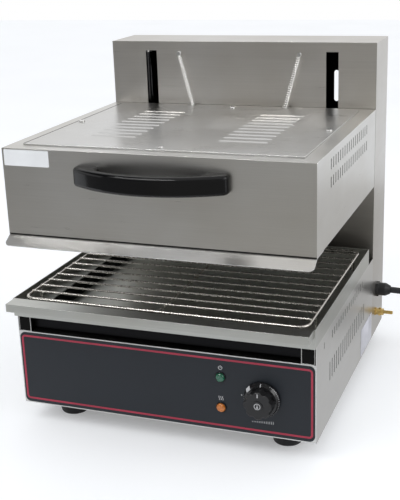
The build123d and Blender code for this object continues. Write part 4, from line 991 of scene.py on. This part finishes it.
class SALAMANDER_OT_cord(bpy.types.Operator):
    """Mains cord from the gland, down to the bench and wound into a coil with its plug"""

    bl_idname = "salamander.cord"
    bl_label = "Mains Cord"

    def execute(self, context):
        values = context.scene.salamander_cord
        lift = values.diameter / 2 + 0.35 * MM
        start = (249.0, 178.0, 107.0)
        route = [
            start, (279.2, 178.0, 107.0), (306.1, 181.5, 93.7), (323.7, 187.7, 70.0),
            (328.3, 195.3, 41.1), (331.9, 214.6, 18.2), (333.9, 241.9, lift / MM),
        ]
        route += self.coil(lift / MM)
        curve = bpy.data.curves.new("mains_cord", "CURVE")
        curve.dimensions = "3D"
        curve.resolution_u = 6
        curve.bevel_depth = values.diameter / 2
        curve.bevel_resolution = 5
        curve.use_fill_caps = True
        spline = curve.splines.new("NURBS")
        spline.points.add(len(route) - 1)
        for point, place in zip(spline.points, route):
            point.co = (*(c * MM for c in place), 1)
        spline.order_u = 3
        spline.use_endpoint_u = True
        cord = bpy.data.objects.new("mains_cord", curve)
        rubber = plastic("cord rubber", values.rubber_colour, 0.42, 700.0, 0.12)
        put(cord, "base", rubber)
        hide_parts("cord", "cord_coil")
        return {"FINISHED"}

    def coil(self, floor):
        """Points of the coil: in, up a layer, and out again."""
        centre, outer, pitch = (405.9, 272.2), 72.0, 11.1
        ins, climb, outs = 1.5, 0.5, 1.5
        inner = outer - pitch * ins
        points = []
        steps = 14
        count = round((ins + climb + outs) * steps)
        for i in range(count + 1):
            turn = i / steps
            z = floor
            if turn <= ins:
                r = outer - pitch * turn
            elif turn < ins + climb:
                part = math.pi * (turn - ins) / climb
                r = inner - pitch * climb / math.pi * math.sin(part)
                z += pitch * (1 - math.cos(part)) / 2
            else:
                r = inner + pitch * (turn - ins - climb)
                z += pitch
            angle = math.pi - 2 * math.pi * turn
            r /= math.cos(math.pi / steps) ** 0.5
            points.append((centre[0] + r * math.cos(angle), centre[1] + r * math.sin(angle), z))
        end = points[-1]
        points += [(end[0], end[1] - 30.0, end[2]), (end[0], end[1] - 60.0, end[2])]
        return points


class SALAMANDER_OT_details(bpy.types.Operator):
    """Blank badge and side plate, and the rims at the channels' front ends"""

    bl_idname = "salamander.details"
    bl_label = "Small Details"

    def execute(self, context):
        blank = plastic("blank badge", (0.78, 0.79, 0.80), 0.35, 1500.0, 0.02, 0.2, 0.04)
        front = HEAD[0][1]
        badge = flat_curve(
            "blank_badge",
            [rounded_outline((-222 * MM, 395 * MM), (-152 * MM, 418 * MM), 1.5 * MM)],
            facing_front(0, front - 0.3 * MM, 0), 0.5 * MM,
        )
        put(badge, "head", blank)
        self.channel_ends()
        grey = plastic("blank rating plate", (0.55, 0.55, 0.60), 0.4, 2500.0, 0.04, 0.0, 0.2)
        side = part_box("base_casing")[1][0]
        plate = flat_curve(
            "blank_side_plate",
            [rounded_outline((54 * MM, 33 * MM), (139 * MM, 79 * MM), 1.2 * MM)],
            facing_right(side + 0.2 * MM, 0, 0), 0.4 * MM,
        )
        put(plate, "base", grey)
        return {"FINISHED"}

    def channel_ends(self):
        """Bright cut edges round the channels' front ends, and a black plate of painted shade inside
        them.
        """
        low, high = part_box("tray_runners")
        inner = min(abs(v.co.x) for v in NODES["tray_runners"].data.vertices)
        edge = plain_metal("cut sheet edge", (0.50, 0.50, 0.49), 0.3)
        black = plastic("channel shade", (0.004, 0.004, 0.004), 0.7, shine=0.1)
        for name, sign in (("left", -1), ("right", 1)):
            sides = sorted((sign * (inner + 0.3 * MM), sign * (high[0] - 1.2 * MM)))
            first, last = (sides[0], low[2] + 0.3 * MM), (sides[1], high[2] - 0.3 * MM)
            inset = 0.55 * MM
            within = rounded_outline(
                (first[0] + inset, first[1] + inset), (last[0] - inset, last[1] - inset), 1.6 * MM
            )
            rim = [rounded_outline(first, last, 2.1 * MM), within]
            place = facing_front(0, low[1] - 0.15 * MM, 0)
            put(flat_curve("channel_rim_" + name, rim, place, 0.2 * MM), "base", edge)
            place = facing_front(0, low[1] + 0.1 * MM, 0)
            end = flat_curve("channel_end_" + name, [within], place, 0.2 * MM)
            put(end, "base", black)


class SALAMANDER_OT_stage(bpy.types.Operator):
    """Pale floor, soft boxes, even sky and the camera at the photograph's place"""

    bl_idname = "salamander.stage"
    bl_label = "Stage"

    def execute(self, context):
        values = context.scene.salamander_stage
        self.camera(context)
        self.floor(values)
        self.room_cards(values)
        self.sky(context, values)
        self.soft_box("key_box", (-0.9, -1.5, 1.9), (0, 0, 0.25), (1.6, 1.28), values.key_power)
        self.soft_box("side_box", (1.9, -0.3, 1.2), (0, 0, 0.25), (1.3, 1.04), values.side_power)
        strip = self.soft_box(
            "strip_box", (-0.45, -1.1, 1.5), (0, -0.25, 0.4), (1.3, 0.06), values.strip_power
        )
        strip.visible_diffuse = False
        context.scene.view_settings.view_transform = "Standard"
        return {"FINISHED"}

    def camera(self, context):
        data = bpy.data.cameras.new("camera")
        data.sensor_fit = "VERTICAL"
        data.sensor_height = 36.0
        data.lens = 71.955
        camera = bpy.data.objects.new("camera", data)
        context.scene.collection.objects.link(camera)
        right = Vector((0.93649, 0.34903, -0.03420)).normalized()
        up = Vector((-0.07777, 0.30176, 0.95022)).normalized()
        back = right.cross(up).normalized()
        up = back.cross(right).normalized()
        turn = Matrix((right, up, back)).transposed().to_4x4()
        camera.matrix_world = Matrix.Translation((0.52034, -1.41440, 0.70563)) @ turn
        context.scene.camera = camera

    def floor(self, values):
        """White where it is looked at or mirrored, with the grill's shadow on it."""
        material, tree, shader = new_material("pale floor")
        place = add(tree, "ShaderNodeTexCoord").outputs["Object"]
        tree.links.new(
            tint(tree, noise(tree, place, 3.0), (0.80, 0.81, 0.83), (0.83, 0.84, 0.86)),
            shader.inputs["Base Color"],
        )
        shader.inputs["Roughness"].default_value = 0.85
        shader.inputs["Specular IOR Level"].default_value = 0.1
        glow = add(tree, "ShaderNodeEmission", Strength=values.floor_glow)
        lifted = add(tree, "ShaderNodeAddShader")
        tree.links.new(shader.outputs["BSDF"], lifted.inputs[0])
        tree.links.new(glow.outputs["Emission"], lifted.inputs[1])
        choose = add(tree, "ShaderNodeMixShader")
        tree.links.new(self.looked_at(tree), choose.inputs[0])
        tree.links.new(shader.outputs["BSDF"], choose.inputs[1])
        tree.links.new(lifted.outputs["Shader"], choose.inputs[2])
        out = next(n for n in tree.nodes if n.type == "OUTPUT_MATERIAL")
        tree.links.new(choose.outputs["Shader"], out.inputs["Surface"])

        def build(bm):
            bmesh.ops.create_grid(bm, x_segments=1, y_segments=1, size=6.0)

        floor = mesh_piece("floor", build)
        put(floor, None, material)

    def looked_at(self, tree):
        """One for camera rays, mirror rays and rays through glass."""
        path = add(tree, "ShaderNodeLightPath").outputs
        seen = maths(tree, "MAXIMUM", path["Is Camera Ray"], path["Is Glossy Ray"])
        return maths(tree, "MAXIMUM", seen, path["Is Transmission Ray"])

    def room_cards(self, values):
        """Cards for the room, the ceiling and the floor beside; only mirror rays see them."""
        tone = values.room_tone
        warm = (tone * 1.2, tone * 1.18, tone * 1.12)
        room = self.card_material("room card", (tone * 0.85,) * 3, warm)
        tone = values.side_tone
        beside = self.card_material("side card", (tone * 0.9,) * 3, (tone * 1.1,) * 3)
        tone = values.ceiling_tone
        above_it = self.card_material("ceiling card", (tone,) * 3, (tone * 1.2,) * 3)
        cards = {
            "ceiling_card": (above_it, (-4.0, -3.0, 2.2), (-0.72, -3.0, 2.2),
                             (-0.72, 0.3, 2.2), (-4.0, 0.3, 2.2)),
            "room_floor_card": (room, (-5.0, -4.0, 0.003), (2.2, -4.0, 0.003),
                                (2.2, -0.62, 0.003), (-5.0, -0.62, 0.003)),
            "room_front_card": (room, (-6.0, -4.0, 0.0), (4.0, -4.0, 0.0),
                                (4.0, -4.0, 3.2), (-6.0, -4.0, 3.2)),
            "side_floor_card": (beside, (0.2255, -0.6, 0.001), (1.5, -0.6, 0.001),
                                (1.5, 1.3, 0.001), (0.2255, 1.3, 0.001)),
        }
        for name, (material, *places) in cards.items():
            card = mesh_piece(name, lambda bm: bm.faces.new([bm.verts.new(c) for c in places]))
            put(card, None, material)
            card.visible_camera = False
            card.visible_diffuse = False
            card.visible_transmission = False
            card.visible_shadow = False

    def card_material(self, name, dark, light):
        material, tree, shader = new_material(name)
        tree.nodes.remove(shader)
        place = add(tree, "ShaderNodeTexCoord").outputs["Object"]
        glow = add(tree, "ShaderNodeEmission")
        split = add(tree, "ShaderNodeSeparateXYZ")
        tree.links.new(place, split.inputs["Vector"])
        along = add(tree, "ShaderNodeMapRange")
        along.inputs["From Min"].default_value = -1.4
        along.inputs["From Max"].default_value = 0.3
        tree.links.new(split.outputs["X"], along.inputs["Value"])
        mixed = blend_float(tree, 0.4, along.outputs["Result"], noise(tree, place, 0.7))
        tree.links.new(tint(tree, mixed, dark, light), glow.inputs["Color"])
        out = next(n for n in tree.nodes if n.type == "OUTPUT_MATERIAL")
        tree.links.new(glow.outputs["Emission"], out.inputs["Surface"])
        return material

    def sky(self, context, values):
        world = bpy.data.worlds.new("studio")
        context.scene.world = world
        world.use_nodes = True
        tree = world.node_tree
        shader = next(n for n in tree.nodes if n.type == "BACKGROUND")
        out = next(n for n in tree.nodes if n.type == "OUTPUT_WORLD")
        shader.inputs["Color"].default_value = (0.96, 0.98, 1.0, 1)
        shader.inputs["Strength"].default_value = values.sky
        white = add(tree, "ShaderNodeBackground")
        white.inputs["Color"].default_value = (1, 1, 1, 1)
        white.inputs["Strength"].default_value = 1.0
        mix = add(tree, "ShaderNodeMixShader")
        tree.links.new(self.looked_at(tree), mix.inputs[0])
        tree.links.new(shader.outputs["Background"], mix.inputs[1])
        tree.links.new(white.outputs["Background"], mix.inputs[2])
        tree.links.new(mix.outputs["Shader"], out.inputs["Surface"])

    def soft_box(self, name, place, aim, size, power):
        data = bpy.data.lights.new(name, "AREA")
        data.shape = "RECTANGLE"
        data.size, data.size_y = size
        data.energy = power
        lamp = bpy.data.objects.new(name, data)
        lamp.location = place
        lamp.rotation_euler = (Vector(aim) - Vector(place)).to_track_quat("-Z", "Y").to_euler()
        bpy.context.scene.collection.objects.link(lamp)
        return lamp


class SALAMANDER_PT_pieces(bpy.types.Panel):
    """Lists the grill's settings and pieces"""

    bl_label = "Salamander Grill"
    bl_idname = "SALAMANDER_PT_pieces"
    bl_space_type = "VIEW_3D"
    bl_region_type = "UI"
    bl_category = "Salamander"

    def draw(self, context):
        for name, (_, operators) in GROUPS.items():
            box = self.layout.box()
            values = getattr(context.scene, name)
            for key in type(values).__annotations__:
                box.prop(values, key)
            for operator in operators:
                box.operator(operator.bl_idname)


GROUPS = {
    "salamander_stage": (StageSettings, (SALAMANDER_OT_stage,)),
    "salamander_cord": (CordSettings, (SALAMANDER_OT_cord,)),
    "salamander_steel": (
        SteelSettings,
        (SALAMANDER_OT_sheets, SALAMANDER_OT_metals, SALAMANDER_OT_mouldings, SALAMANDER_OT_details),
    ),
    "salamander_cover": (CoverSettings, (SALAMANDER_OT_cover, SALAMANDER_OT_feet)),
    "salamander_panel": (PanelSettings, (SALAMANDER_OT_panel,)),
    "salamander_springs": (SpringSettings, (SALAMANDER_OT_springs,)),
}


def register():
    for name, (settings, operators) in GROUPS.items():
        bpy.utils.register_class(settings)
        for operator in operators:
            bpy.utils.register_class(operator)
        setattr(bpy.types.Scene, name, PointerProperty(type=settings))
    bpy.utils.register_class(SALAMANDER_PT_pieces)


def unregister():
    bpy.utils.unregister_class(SALAMANDER_PT_pieces)
    for name, (settings, operators) in reversed(GROUPS.items()):
        delattr(bpy.types.Scene, name)
        for operator in operators:
            bpy.utils.unregister_class(operator)
        bpy.utils.unregister_class(settings)


def main():
    register()
    for _, operators in GROUPS.values():
        for operator in operators:
            group, call = operator.bl_idname.split(".")
            getattr(getattr(bpy.ops, group), call)()
    bpy.context.view_layer.update()


if __name__ == "__main__":
    main()
